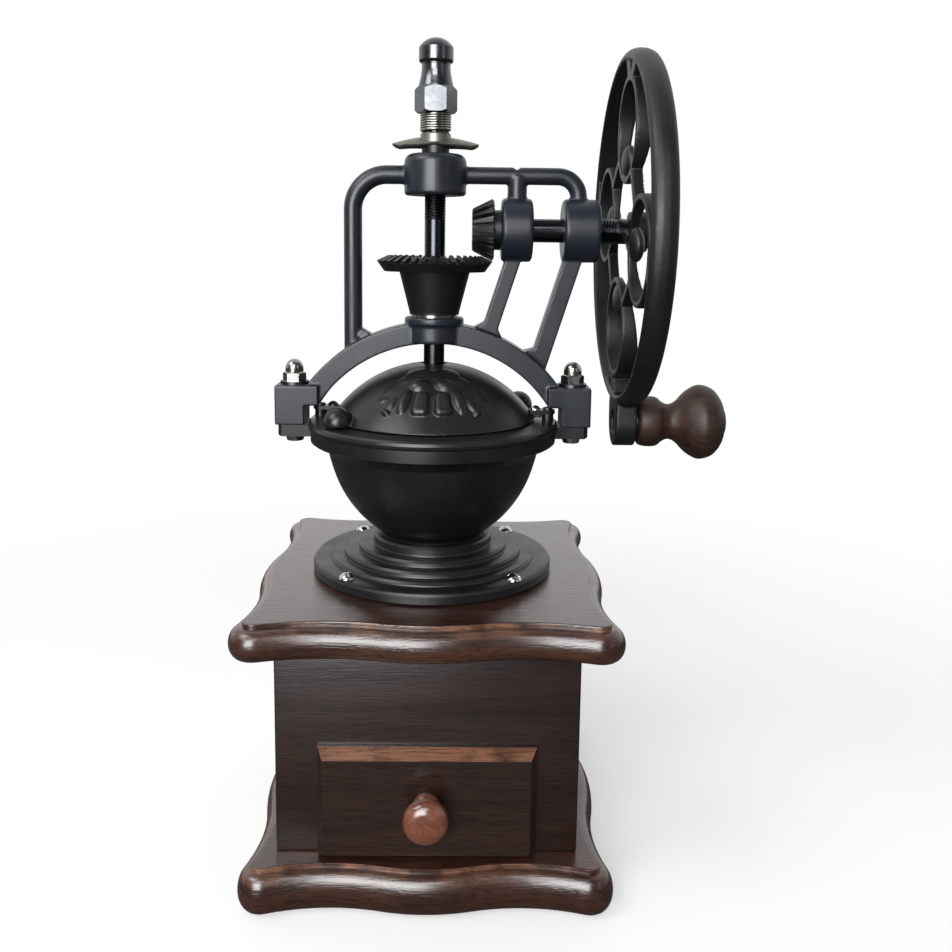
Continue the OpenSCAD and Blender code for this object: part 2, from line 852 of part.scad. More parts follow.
module frame() {
    boss_top = shaft_z + boss_d / 2;
    difference() {
        color("#1b1c1f")
        union() {
            // arch over the lid
            intersection() {
                translate([0, arch_d / 2, arch_z])
                    rotate([90, 0, 0])
                        difference() {
                            cylinder(h = arch_d, r = arch_r + arch_t, $fn = 128);
                            translate([0, 0, -1])
                                cylinder(h = arch_d + 2, r = arch_r, $fn = 128);
                        }
                translate([-foot_in_x - 4, -arch_d, notch_z])
                    cube([2 * foot_in_x + 8, 2 * arch_d, 90]);
            }
            frame_foot();
            mirror([1, 0, 0])
                frame_foot();
            // collar over the arch
            translate([0, 0, arch_z + arch_r])
                rotate_extrude()
                    polygon([[0, 0], [collar_d / 2 - 1.8, 0], [collar_d / 2 - 1.2, 0.6], [collar_d / 2 - 1.2, arch_t - 1.4],
                        [collar_d / 2, arch_t - 0.8], [collar_d / 2, arch_t + 1.6], [collar_d / 2 - 0.6, arch_t + 2.2],
                        [0, arch_t + 2.2]]);
            // left post, its bend and the bar to the head
            bar_between([post_x, arch_z + 56], [post_x, bar_z - bend_a_r], bar_d);
            bar_bend(post_x + bend_a_r, bar_z - bend_a_r, bend_a_r, 90, bar_d);
            bar_between([post_x + bend_a_r, bar_z], [0, bar_z], bar_d);
            // head
            translate([0, 0, head_low_z])
                rotate_extrude()
                    polygon([[0, 0], [head_d / 2 - 0.8, 0], [head_d / 2, 0.8], [head_d / 2, head_h - 3],
                        [head_d / 2 - 0.5, head_h - 1.6], [head_d / 2 - 1.6, head_h - 0.5],
                        [head_d / 2 - 3, head_h], [0, head_h]]);
            // bar to the right and its bend
            bar_between([0, bar_z + 0.1], [boss_b_x - 1.1 - bend_b_r, bar_z + 0.1], bar_d - 0.6);
            bar_bend(boss_b_x - 1.1 - bend_b_r, bar_z + 0.1 - bend_b_r, bend_b_r, 0, bar_d - 0.6);
            bar_between([boss_b_x - 1.1, shaft_z + 9], [boss_b_x - 1.1, bar_z + 0.1 - bend_b_r], bar_d - 0.6);
            bar_between([boss_a_x, shaft_z + 9], [boss_a_x, bar_z], bar_d + 0.4);
            // bosses of the wheel shaft
            on_axle(boss_a_left)
                boss(boss_a_l);
            on_axle(boss_b_right - boss_b_l)
                boss(boss_b_l);
            // struts from the bosses down to the arch
            strut([boss_a_x - 0.3, shaft_z - 9], [boss_a_x - 11.7, arch_z + 61.5], 6.4);
            strut([boss_b_x - 2, shaft_z - 9], [boss_b_x - 17.6, arch_z + 47.5], 7.3);
        }
        // bores
        translate([0, 0, arch_z])
            cylinder(h = head_top_z - arch_z + 1, d = spindle_d + 2 * run_gap);
        on_axle(boss_a_left - 1)
            cylinder(h = boss_b_right - boss_a_left + 2, d = axle_d + 2 * run_gap);
        both_sides()
            translate([bolt_x, 0, ear_top_z - 1])
                cylinder(h = foot_top_z - ear_top_z + 2, d = bolt_d + 0.2);
        // notch where the two bars meet
        translate([boss_a_x - 0.3, 0, bar_z + bar_d / 2 + 1.6])
            rotate([0, 45, 0])
                cube([4.6, 30, 4.6], center = true);
    }
}

module boss(l) {
    rotate_extrude()
        polygon([[0, 0], [boss_d / 2 - 1.2, 0], [boss_d / 2 - 0.3, 0.4], [boss_d / 2, 1.3],
            [boss_d / 2, l - 1.3], [boss_d / 2 - 0.3, l - 0.4], [boss_d / 2 - 1.2, l], [0, l]]);
}

module strut(a, b, w) {
    run = [b[0] - a[0], b[1] - a[1]];
    translate([a[0], 0, a[1]])
        rotate([0, atan2(run[0], run[1]), 0])
            translate([-w / 2, -5, 0])
                cube([w, 10, norm(run)]);
}

module frame_washers() {
    color("#2b2c30")
    both_sides()
        translate([bolt_x, 0, foot_top_z])
            difference() {
                cylinder(h = 1.2, d = bolt_d * 2);
                translate([0, 0, -1])
                    cylinder(h = 4, d = bolt_d + 0.3);
            }
}

// Acorn nut, standing on z = 0
module acorn_nut(d) {
    difference() {
        union() {
            intersection() {
                cylinder(h = d * 0.75, d = d * 1.68, $fn = 6);
                translate([0, 0, d * 0.75 - d * 1.3])
                    sphere(r = d * 1.36);
            }
            translate([0, 0, d * 0.5])
                cylinder(h = d * 0.42, d = d * 1.28);
            translate([0, 0, d * 0.92])
                sphere(d = d * 1.28);
        }
        translate([0, 0, -1])
            cylinder(h = d * 0.95 + 1, d = d + 0.1);
    }
}

module frame_nuts() {
    color("#26272b")
    both_sides()
        translate([bolt_x, 0, foot_top_z + 1.2])
            acorn_nut(bolt_d);
}

module frame_bolts() {
    color("#26272b")
    both_sides()
        translate([bolt_x, 0, 0]) {
            translate([0, 0, ear_low_z - 3])
                cylinder(h = 3, d1 = 7, d2 = 9);
            translate([0, 0, ear_low_z - 1])
                cylinder(h = foot_top_z + 1.2 + bolt_d * 0.85 - ear_low_z + 1, d = bolt_d);
        }
}

// UPRIGHT SHAFT AND WHAT TURNS WITH IT

spindle_low_z = burr_low_z - 7;
collar_top = 4.2;
wing_z = head_top_z + collar_top;
wing_h = 4.4;
spring_z = wing_z + wing_h;
cap_z = spring_z + spring_h;

module spindle() {
    color("#55575c")
    translate([0, 0, spindle_low_z])
        cylinder(h = cap_z + cap_h - 6 - spindle_low_z, d = spindle_d);
}

module thrust_washer() {
    color("#8b8d90")
    translate([0, 0, collar_z])
        difference() {
            cylinder(h = 1, d = 19);
            translate([0, 0, -1])
                cylinder(h = 3, d = spindle_d + 2 * run_gap);
        }
}

// LARGE BEVEL GEAR: a revolved blank with radial grooves

gear_teeth = 2 * pinion_teeth;
gear_back_z = shaft_z - 17.7;
gear_hub_low_z = collar_z + 1;

module crown_gear() {
    r1 = gear_r + 0.6;
    r0 = r1 - gear_face;
    tip = tooth_h * 0.35;
    color("#232428")
    difference() {
        rotate_extrude($fn = 96)
            polygon([[spindle_d / 2 + run_gap, gear_hub_low_z], [10.5, gear_hub_low_z], [10.6, gear_hub_low_z + 1],
                [15, gear_back_z], [r1 - 3.2, gear_back_z], [r1, shaft_z - mesh_depth(r1) - tip],
                [r0, shaft_z - mesh_depth(r0) - tip], [r0 - 0.6, shaft_z - mesh_depth(r0) - 2.6],
                [11, shaft_z - mesh_depth(r0) - 2.6], [10.4, shaft_z - mesh_depth(r0) - 1.4],
                [spindle_d / 2 + run_gap, shaft_z - mesh_depth(r0) - 1.4]]);
        for (i = [0 : gear_teeth - 1])
            rotate([0, 0, (i + 0.5) * 360 / gear_teeth])
                for (s = [-1, 1])
                    rotate([0, 0, s * 0.75])
                        translate([gear_r, 0, shaft_z - mesh_depth(gear_r) - tip])
                            rotate([0, gear_angle, 0])
                                translate([-9, -0.78, -tooth_h])
                                    cube([14, 1.56, tooth_h + 3]);
        // hole of the cross pin
        translate([0, 20, gear_hub_low_z + 7])
            rotate([90, 0, 0])
                cylinder(h = 20, d = 3.2);
    }
}

module gear_pin() {
    color("#3a3b3e")
    translate([0, 12, gear_hub_low_z + 7])
        rotate([90, 0, 0])
            cylinder(h = 12 - spindle_d / 2 - run_gap, d = 3.1);
}

// SMALL BEVEL GEAR on the wheel shaft

pinion_x = gear_r + 0.2;

module pinion() {
    x1 = pinion_x;
    x0 = pinion_x - pinion_face * cos(gear_angle);
    tip = tooth_h * 0.35;
    turn = 180 / pinion_teeth;
    color("#232428")
    on_axle()
        rotate([0, 0, turn])
            difference() {
                rotate_extrude($fn = 96)
                    polygon([[axle_d / 2 + run_gap, x0], [mesh_depth(x0) + tip - 0.6, x0],
                        [mesh_depth(x0) + tip, x0 + 0.5], [mesh_depth(x1) + tip, x1],
                        [mesh_depth(x1) - 0.6, x1 + 0.7], [8.4, x1 + 0.7], [8.4, boss_a_left - 0.3],
                        [axle_d / 2 + run_gap, boss_a_left - 0.3]]);
                for (i = [0 : pinion_teeth - 1])
                    rotate([0, 0, (i + 0.5) * 360 / pinion_teeth])
                        for (s = [-1, 1])
                            rotate([0, 0, s * 1.6])
                                translate([mesh_depth(gear_r) + tip, 0, gear_r])
                                    rotate([0, -90 + gear_angle, 0])
                                        translate([-14, -0.72, -tooth_h * 1.1])
                                            cube([18, 1.44, tooth_h + 3]);
                // hole of the cross pin
                rotate([0, 0, -turn])
                    translate([0, 0, pin_x])
                        rotate([0, 90, 0])
                            translate([0, 0, -10])
                                cylinder(h = 20, d = 2.1);
            }
}

pin_x = pinion_x + 1.7;

module pinion_pin() {
    color("#3a3b3e")
    on_axle(pin_x)
        rotate([0, 90, 0])
            translate([0, 0, -8])
                cylinder(h = 16, d = 2);
}

module axle() {
    end_x = wheel_x + wheel_w + 2 + 8 * 0.85;
    left_x = pinion_x - pinion_face * cos(gear_angle);
    color("#34363b")
    difference() {
        union() {
            on_axle(left_x)
                cylinder(h = boss_b_right + 0.3 - left_x, d = axle_d);
            on_axle(boss_b_right + 0.3)
                cylinder(h = wheel_x + 4.8 - boss_b_right - 0.3, d = axle_big_d);
            on_axle(wheel_x + 4)
                cylinder(h = end_x - wheel_x - 4, d = 8);
        }
        on_axle(pin_x)
            rotate([0, 90, 0])
                translate([0, 0, -8])
                    cylinder(h = 16, d = 2.1);
    }
}

// ADJUSTER AT THE HEAD OF THE SHAFT

module thrust_collar() {
    color("#1b1c1f")
    translate([0, 0, head_top_z])
        difference() {
            cylinder(h = collar_top, d = 11.6);
            translate([0, 0, -1])
                cylinder(h = collar_top + 2, d = spindle_d + 2 * run_gap);
        }
}

module wing_nut() {
    s = wing_span / 2;
    color("#8e9094")
    translate([0, 0, wing_z])
        difference() {
            union() {
                cylinder(h = wing_h, d = 14.4);
                intersection() {
                    translate([0, 6.2, -s * 2.1])
                        rotate([90, 0, 0])
                            difference() {
                                cylinder(h = 12.4, r = s * 2.1 + wing_h - 0.6, $fn = 128);
                                translate([0, 0, -1])
                                    cylinder(h = 15, r = s * 2.1 + wing_h - 2.5, $fn = 128);
                            }
                    translate([0, 0, -12])
                        cylinder(h = 30, r = s);
                }
            }
            translate([0, 0, -12])
                cylinder(h = 30, d = spindle_d + 2 * run_gap);
        }
}

// The spring is one unbroken tube along a helix with closed end turns
spring_r = spindle_d / 2 + 0.35 + wire_d / 2 + 0.7;
ring_n = 8;
side_n = 6;
spring_pitch = (spring_h - wire_d) / curls;
function spring_at(t) = [spring_r * cos(360 * t), spring_r * sin(360 * t), wire_d / 2 + spring_pitch * t];
spring_tube = [
    for (i = [0 : curls * ring_n])
        let (t = i / ring_n, c = spring_at(t), n = [cos(360 * t), sin(360 * t), 0],
             v = [-sin(360 * t) * 2 * PI * spring_r, cos(360 * t) * 2 * PI * spring_r, spring_pitch],
             d = v / norm(v), b = cross(d, n))
        for (k = [0 : side_n - 1])
            c + (wire_d / 2) * (cos(360 * k / side_n) * n + sin(360 * k / side_n) * b)
];
spring_rings = curls * ring_n + 1;
spring_least = min([for (i = [0 : ring_n * (curls - 1)])
    norm(spring_at(i / ring_n) - spring_at(i / ring_n + 1)) - wire_d]);
echo(spring_least_gap = spring_least);

module adjuster_spring() {
    color("#9a9ca0")
    translate([0, 0, spring_z])
        polyhedron(points = spring_tube, faces = concat(
            [for (i = [0 : spring_rings - 2], k = [0 : side_n - 1])
                let (a = i * side_n + k, b = i * side_n + (k + 1) % side_n)
                each [[a, b, b + side_n], [a, b + side_n, a + side_n]]],
            [for (k = [1 : side_n - 2]) [0, k + 1, k]],
            [for (k = [1 : side_n - 2]) [0, k, k + 1] + (spring_rings - 1) * side_n * [1, 1, 1]]));
}

module cap_nut() {
    ac = cap_hex / cos(30);
    dome_r = 7.2;
    color("#55585c")
    translate([0, 0, cap_z])
        difference() {
            union() {
                // hexagon with chamfered corners
                intersection() {
                    cylinder(h = 10.4, d = ac, $fn = 6);
                    rotate_extrude()
                        polygon([[0, 0], [ac / 2 - 0.9, 0], [ac / 2 + 0.1, 0.9], [ac / 2 + 0.1, 9],
                            [ac / 2 - 1.3, 10.4], [0, 10.4]]);
                }
                // waisted neck
                rotate_extrude()
                    polygon(concat([[0, 9]], smooth([[7.5, 9], [7.4, 10.4], [6.9, 12.4], [6.4, 14.6],
                        [6.05, 17], [5.95, 19]], 3), [[6.1, 19.8], [6.9, 20.3], [dome_r, 20.9],
                        [dome_r, cap_h - 4.2], [0, cap_h - 4.2]]));
                intersection() {
                    translate([0, 0, cap_h - 8.3])
                        sphere(r = 8.3);
                    translate([0, 0, cap_h - 4.3])
                        cylinder(h = 6, r = dome_r);
                }
            }
            translate([0, 0, -1])
                cylinder(h = cap_h - 5.8 + 1, d = spindle_d + 2 * run_gap);
        }
}

// WHEEL, drawn flat with its left face at z = 0 and turned on to the axle

ring_r_mid = 20.6;
ring_c = wheel_d / 2 - wheel_t - ring_r_mid - 7;
ring_in = 1.2;
bud_c = ring_c - ring_r_mid + ring_w / 2 + bud_d / 2 - 0.6;

module flat_ring(r, w, h) {
    difference() {
        cylinder(h = h, r = r + w / 2, $fn = 96);
        translate([0, 0, -1])
            cylinder(h = h + 2, r = r - w / 2, $fn = 96);
    }
}

// Left half of the rim's section: radius and distance from the wheel's left face
function rim_half(r) = [[r - wheel_t, 1], [r - wheel_t + 0.4, 0.3], [r - 3.2, 0], [r - 1.8, 0.5], [r - 0.7, 1.7],
    [r, 3.8]];

// One thin ring with its bud, and its web to the rim with a small three-cornered hole
module petal() {
    out = ring_c + ring_r_mid;
    wr = wheel_d / 2;
    translate([bud_c, 0, ring_in + 2])
        rotate_extrude($fn = 48)
            polygon([for (a = [-90 : 15 : 90]) [bud_d / 2 * cos(a), 3.1 * sin(a)]]);
    difference() {
        union() {
            translate([ring_c, 0, ring_in])
                flat_ring(ring_r_mid, ring_w, ring_deep);
            rotate([0, 0, 45])
                translate([ring_c * cos(45) - 1.2, -9, ring_in])
                    cube([3.6, 18, ring_deep]);
        }
        // the rings are thinner towards the hub
        translate([0, 0, ring_in + 3])
            cylinder(h = ring_deep - 2.9, r1 = 21, r2 = 56);
    }
    difference() {
        translate([0, 0, ring_in])
            linear_extrude(ring_deep)
                polygon([[out - 0.9, -5.6], [wr - 2, -14.5], [wr - 1.4, 0], [wr - 2, 14.5], [out - 0.9, 5.6]]);
        translate([0, 0, -1])
            linear_extrude(ring_deep + 4)
                polygon([[out + 2.2, 0], [wr - wheel_t - 0.7, -3.4], [wr - wheel_t - 0.7, 3.4]]);
    }
}

module wheel() {
    wr = wheel_d / 2;
    side = rim_half(wr);
    color("#1b1c1f")
    on_axle(wheel_x)
        difference() {
            union() {
                rotate_extrude($fn = 128)
                    polygon(concat(side, [for (i = [len(side) - 1 : -1 : 0]) [side[i][0], wheel_w - side[i][1]]]));
                for (k = [0 : 3])
                    rotate([0, 0, 90 + ring_turn + 90 * k])
                        petal();
                // arms of the hub
                for (k = [0 : 1])
                    rotate([0, 0, 90 + ring_turn + 180 * k])
                        translate([0, -2.2, ring_in])
                            cube([ring_c - ring_r_mid, 4.4, 6]);
                // hub
                translate([0, 0, 4.8])
                    cylinder(h = wheel_w + 2 - 4.8, d = 17);
                // lug of the handle
                rotate([0, 0, lug_turn]) {
                    translate([handle_r, 0, 0])
                        cylinder(h = lug_t, d = 21);
                    translate([wr - 2.4, -10.5, 0])
                        cube([handle_r - wr + 2.4, 21, lug_t]);
                }
            }
            translate([0, 0, -1])
                cylinder(h = 5.8, d = axle_big_d + 1);
            cylinder(h = wheel_w + 4, d = 8 + 2 * run_gap);
            rotate([0, 0, lug_turn])
                translate([handle_r, 0, -1]) {
                    cylinder(h = lug_t + 2, d = handle_bolt_d - 0.9);
                    cylinder(h = 2.6, d = 9.6);
                }
        }
}

module wheel_nut() {
    color("#26272b")
    on_axle(wheel_x + wheel_w + 2)
        acorn_nut(8);
}

// HANDLE

module at_handle(z) {
    on_axle(wheel_x)
        rotate([0, 0, lug_turn])
            translate([handle_r, 0, z])
                children();
}

module handle_washer() {
    color("#8b8d90")
    at_handle(lug_t)
        difference() {
            cylinder(h = handle_washer_t, d = 12.5);
            translate([0, 0, -1])
                cylinder(h = 4, d = handle_bolt_d + 0.1);
        }
}

module handle_bolt() {
    color("#3a3b3e")
    at_handle(0) {
        translate([0, 0, 1.2])
            cylinder(h = lug_t - 1, d = handle_bolt_d - 1);
        translate([0, 0, lug_t + 0.02])
            cylinder(h = handle_washer_t + handle_l - 2.4, d = handle_bolt_d);
        translate([0, 0, lug_t + handle_washer_t + handle_l - 2.6])
            difference() {
                cylinder(h = 2.2, d = 10);
                translate([-6, -0.6, 1.2])
                    cube([12, 1.2, 2]);
            }
    }
}

module handle_knob() {
    r = handle_d / 2;
    l = handle_l;
    p = smooth([[r * 0.56, 0], [r * 0.64, l * 0.03], [r * 0.68, l * 0.12], [r * 0.66, l * 0.22],
        [r * 0.55, l * 0.28], [r * 0.475, l * 0.36], [r * 0.56, l * 0.45], [r * 0.82, l * 0.56],
        [r * 0.98, l * 0.67], [r, l * 0.75], [r * 0.9, l * 0.86], [r * 0.66, l * 0.945], [r * 0.4, l * 0.985],
        [r * 0.36, l]], 4);
    color("#6b3d28")
    at_handle(lug_t + handle_washer_t + 0.15)
        difference() {
            rotate_extrude($fn = 96)
                polygon(concat([[0, 0]], p, [[0, l]]));
            translate([0, 0, -1])
                cylinder(h = l + 2, d = handle_bolt_d + 2 * run_gap);
            translate([0, 0, l - 3.1])
                cylinder(h = 6, d = 10.6);
        }
}

base_board();
box_front();
box_back();
box_left();
box_right();
top_board();
drawer_front();
drawer_sides();
drawer_back();
drawer_floor();
drawer_knob();
drawer_knob_screw();
drawer_rails();
base_screws();
pedestal();
pedestal_screws();
bowl();
bowl_screws();
outer_burr();
inner_burr();
lid_front_half();
lid_rear_half();
lid_front_strap();
lid_rear_strap();
lid_front_screw();
lid_rear_screw();
lid_hinge_pins();
frame();
frame_bolts();
frame_washers();
frame_nuts();
spindle();
burr_nut();
thrust_washer();
crown_gear();
gear_pin();
thrust_collar();
wing_nut();
adjuster_spring();
cap_nut();
axle();
pinion();
pinion_pin();
wheel();
wheel_nut();
handle_bolt();
handle_washer();
handle_knob();
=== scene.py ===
import math
import bmesh
import bpy
from mathutils import Matrix, Vector


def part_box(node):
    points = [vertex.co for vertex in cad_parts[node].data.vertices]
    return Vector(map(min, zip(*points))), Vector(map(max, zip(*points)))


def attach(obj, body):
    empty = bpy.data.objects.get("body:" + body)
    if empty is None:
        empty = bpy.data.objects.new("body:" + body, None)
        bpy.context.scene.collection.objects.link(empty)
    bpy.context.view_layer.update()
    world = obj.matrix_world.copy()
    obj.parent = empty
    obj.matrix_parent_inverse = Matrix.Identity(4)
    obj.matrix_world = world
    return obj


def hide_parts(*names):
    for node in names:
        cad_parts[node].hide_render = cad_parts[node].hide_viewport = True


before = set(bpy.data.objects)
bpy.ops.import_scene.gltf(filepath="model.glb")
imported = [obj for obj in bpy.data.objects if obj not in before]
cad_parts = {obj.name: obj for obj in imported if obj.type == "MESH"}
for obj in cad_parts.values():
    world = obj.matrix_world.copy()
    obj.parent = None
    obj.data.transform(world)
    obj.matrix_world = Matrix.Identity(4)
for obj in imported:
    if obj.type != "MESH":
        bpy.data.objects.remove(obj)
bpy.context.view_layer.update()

# Base board
# A square of solid wood under the box, sawn to a wavy outline, its edge routed to a full round with
# a small step above it. Stained dark walnut and varnished. The step and the top of the nose are
# painted a lighter brown in patches: partly stain rubbed through, partly painted light where they
# face up to the lamps.
MM = 0.001

# Outline and edge of the board
WAVE = 4 * MM
FOOT_IN = 4.4 * MM
NOSE_IN = 4.3 * MM
LEDGE = 0.9 * MM
STEP_UP = 1.8 * MM
STEP_SOFT = 0.35 * MM
NOSE_LOW = 0.42
FIRST_LIFT = 0.1 * MM
# Behind the step, the flat band over which the step's lighter colour (rubbed stain and painted light) fades
# out.
WORN_AND_LIT_BAND = 0.9 * MM

# Wood and stain
# The lighter colour on the step and on the upper half of the nose: partly stain rubbed off, partly painted
# light where they face up to the lamps.
STEP_WORN_AND_LIT = 1.0
NOSE_WORN_AND_LIT = 0.35
FIGURE_STRETCH = 14
PORE_WIDE = 0.7 * MM
PORE_LONG = 11 * MM
RUB_AND_LIGHT_PATCH = 13 * MM
VARNISH_GRAIN = 0.07 * MM

# Holes of the base screws
SCREW_HEAD_R = 3.8 * MM
SINK_R = 4.2 * MM
SINK_DEEP = 3 * MM
SHANK_R = 2 * MM


def srgb(code):
    """A colour as it is written in hex, made linear."""
    channels = [int(code[i:i + 2], 16) / 255 for i in (1, 3, 5)]
    return tuple(c / 12.92 if c <= 0.04045 else ((c + 0.055) / 1.055) ** 2.4 for c in channels) + (1.0,)


def add_node(tree, kind, settings=(), **inputs):
    """Adds a node with its settings, and gives each input its value or links it to an output."""
    node = tree.nodes.new("ShaderNode" + kind)
    for setting, value in dict(settings).items():
        setattr(node, setting, value)
    for socket, value in inputs.items():
        socket = node.inputs[socket.replace("_", " ")]
        if isinstance(value, bpy.types.NodeSocket):
            tree.links.new(value, socket)
        else:
            socket.default_value = value
    return node


def new_finish(name):
    finish = bpy.data.materials.new(name)
    finish.use_nodes = True
    shader = finish.node_tree.nodes["Principled BSDF"]
    return finish, finish.node_tree, shader


def stained_wood(name, deep, bright, worn_and_lit, grain="X", gloss=0.3, bands=0.6, figure=9 * MM,
                 patch_from=0.4, lift=0.2, pores=0.55):
    """Open-grained hardwood, wiped with a dark stain and varnished: the pores take more stain and
    show as short dark dashes along the grain. Where the mesh marks it, a lighter brown is laid in
    patches: stain rubbed off the arrises, and painted light on faces turned up to the lamps.
    Real pores are finer: they are drawn as wide as they need to be to show. Raw wood has no coat."""
    finish, tree, shader = new_finish(name)
    place = add_node(tree, "TexCoord").outputs["Object"]
    along = {"X": 0, "Y": 1, "Z": 2}[grain]
    wide = [1 / figure] * 3
    wide[along] = 1 / (FIGURE_STRETCH * figure)
    fine = [1 / PORE_WIDE] * 3
    fine[along] = 1 / PORE_LONG
    board = add_node(tree, "Mapping", Vector=place, Scale=wide)
    pore = add_node(tree, "Mapping", Vector=place, Scale=fine)
    ring = add_node(tree, "TexNoise", Vector=board.outputs[0], Scale=1.0, Detail=4.0, Roughness=0.6,
                    Distortion=0.8)
    dash = add_node(tree, "TexNoise", Vector=pore.outputs[0], Scale=1.0, Detail=2.0, Roughness=0.55)
    ring_part = add_node(tree, "MapRange", Value=ring.outputs[0], From_Min=0.32, From_Max=0.68)
    dash_part = add_node(tree, "MapRange", Value=dash.outputs[0], From_Min=0.36, From_Max=0.56)
    tone = add_node(tree, "Math", {"operation": "MULTIPLY"})
    tree.links.new(ring_part.outputs[0], tone.inputs[0])
    tone.inputs[1].default_value = bands
    body = add_node(tree, "MixRGB", Fac=tone.outputs[0], Color1=srgb(deep), Color2=srgb(bright))
    # Painted light and wear: where the mesh marks it, the lighter colour goes on in patches, on rubbed
    # arrises and on faces turned up to the lamps.
    rub_and_light = add_node(tree, "Attribute", {"attribute_name": "worn_and_lit"})
    patch = add_node(tree, "TexNoise", Vector=place, Scale=1 / RUB_AND_LIGHT_PATCH, Detail=3.0)
    patchy = add_node(tree, "MapRange", Value=patch.outputs[0], From_Min=patch_from, From_Max=patch_from + 0.22)
    rubbed_and_lit = add_node(tree, "Math", {"operation": "MULTIPLY"})
    tree.links.new(rub_and_light.outputs["Fac"], rubbed_and_lit.inputs[0])
    tree.links.new(patchy.outputs[0], rubbed_and_lit.inputs[1])
    coat = add_node(tree, "MixRGB", Fac=rubbed_and_lit.outputs[0], Color1=body.outputs[0], Color2=srgb(worn_and_lit))
    pored = add_node(tree, "MixRGB", {"blend_type": "MULTIPLY"}, Fac=pores, Color1=coat.outputs[0],
                     Color2=dash_part.outputs[0])
    tree.links.new(pored.outputs[0], shader.inputs["Base Color"])
    sheen = add_node(tree, "MapRange", Value=ring.outputs[0], From_Min=0.3, From_Max=0.7,
                     To_Min=gloss - 0.04, To_Max=gloss + 0.06)
    tree.links.new(sheen.outputs[0], shader.inputs["Roughness"])
    shader.inputs["IOR"].default_value = 1.5
    varnished = gloss < 0.5
    shader.inputs["Coat Weight"].default_value = 0.8 if varnished else 0.0
    shader.inputs["Coat Roughness"].default_value = 0.25
    relief = add_node(tree, "Bump", Strength=lift, Distance=VARNISH_GRAIN, Height=dash_part.outputs[0])
    tree.links.new(relief.outputs[0], shader.inputs["Normal"])
    tree.links.new(relief.outputs[0], shader.inputs["Coat Normal"])
    return finish


def arc(cx, cy, r, start, end, steps):
    """Points along an arc, in degrees, without its last one."""
    turns = [math.radians(start + (end - start) * i / steps) for i in range(steps)]
    return [(cx + r * math.cos(a), cy + r * math.sin(a)) for a in turns]


def wavy_side(hx, hy, x, k):
    """One side of the outline: a dip, the bulge in its middle and another dip."""
    r = (x * x + WAVE * WAVE) / (4 * WAVE)
    a = math.degrees(math.asin(x / (2 * r)))
    b = math.degrees(math.atan2(hx - k - x, r + k - WAVE))
    y = WAVE - hy - r
    return (arc(-x, y, r, 90 + b, 90 - a, 12) + arc(0, r - hy, r, 270 - a, 270 + a, 18)
            + arc(x, y, r, 90 + a, 90 - b, 12))


def wavy_outline(hx, hy):
    """The board's outline, counterclockwise from the left end of its front edge: every side has one
    bulge between two dips, and the four corners are round."""
    x = hx / 2
    r = (x * x + WAVE * WAVE) / (4 * WAVE)
    m = hx - x
    q = 2 * (m + WAVE)
    k = (q - math.sqrt(q * q - 4 * (m * m - 2 * WAVE * r + WAVE * WAVE))) / 2
    inner = 2 * (hy - k)
    xs = inner - math.sqrt(inner * inner - 2 * (k * k - 2 * (hy + WAVE) * k + hy * hy + WAVE * WAVE / 2))
    rs = (xs * xs + WAVE * WAVE) / (4 * WAVE)
    front = math.degrees(math.atan2(hx - k - x, r + k - WAVE))
    side = math.degrees(math.atan2(hy - k - xs, rs + k - WAVE))
    half = (wavy_side(hx, hy, x, k) + arc(hx - k, k - hy, k, 270 - front, 360 + side, 20)
            + [(-b, a) for a, b in wavy_side(hy, hx, xs, k)]
            + arc(hx - k, hy - k, k, -side, 90 + front, 20))
    return half + [(-a, -b) for a, b in half]


def deselect():
    """Leaves edit mode and lets go of everything, so that the next operator acts on its own piece."""
    if bpy.context.object and bpy.context.object.mode != "OBJECT":
        bpy.ops.object.mode_set(mode="OBJECT")
    bpy.ops.object.select_all(action="DESELECT")


def pick_faces(piece, wanted):
    """Selects the faces of the piece in edit mode that the test holds for."""
    bpy.ops.mesh.select_mode(type="FACE")
    bpy.ops.mesh.select_all(action="DESELECT")
    mesh = bmesh.from_edit_mesh(piece.data)
    for face in mesh.faces:
        if wanted(face):
            face.select_set(True)
    bmesh.update_edit_mesh(piece.data)


def cut_away(piece, cutter):
    """Takes the cutter's shape out of the piece, as a drill or a saw does."""
    cut = piece.modifiers.new("cut", "BOOLEAN")
    cut.operation = "DIFFERENCE"
    cut.solver = "EXACT"
    cut.object = cutter
    deselect()
    piece.select_set(True)
    bpy.context.view_layer.objects.active = piece
    bpy.ops.object.modifier_apply(modifier="cut")
    bpy.data.objects.remove(cutter)


def drill(piece, x, y, low, high, radius):
    """An upright round hole."""
    deselect()
    bpy.ops.mesh.primitive_cylinder_add(vertices=48, radius=radius, depth=high - low,
                                        location=(x, y, (low + high) / 2))
    cut_away(piece, bpy.context.object)


def hand_over(piece, finish, slot, body, *nodes, smooth=35):
    """Gives a finished piece its material, its body and the solids that it stands for."""
    deselect()
    piece.select_set(True)
    bpy.context.view_layer.objects.active = piece
    bpy.ops.object.shade_smooth_by_angle(angle=math.radians(smooth))
    piece.data.materials.clear()
    piece.data.materials.append(finish)
    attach(piece, body)
    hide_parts(*nodes)


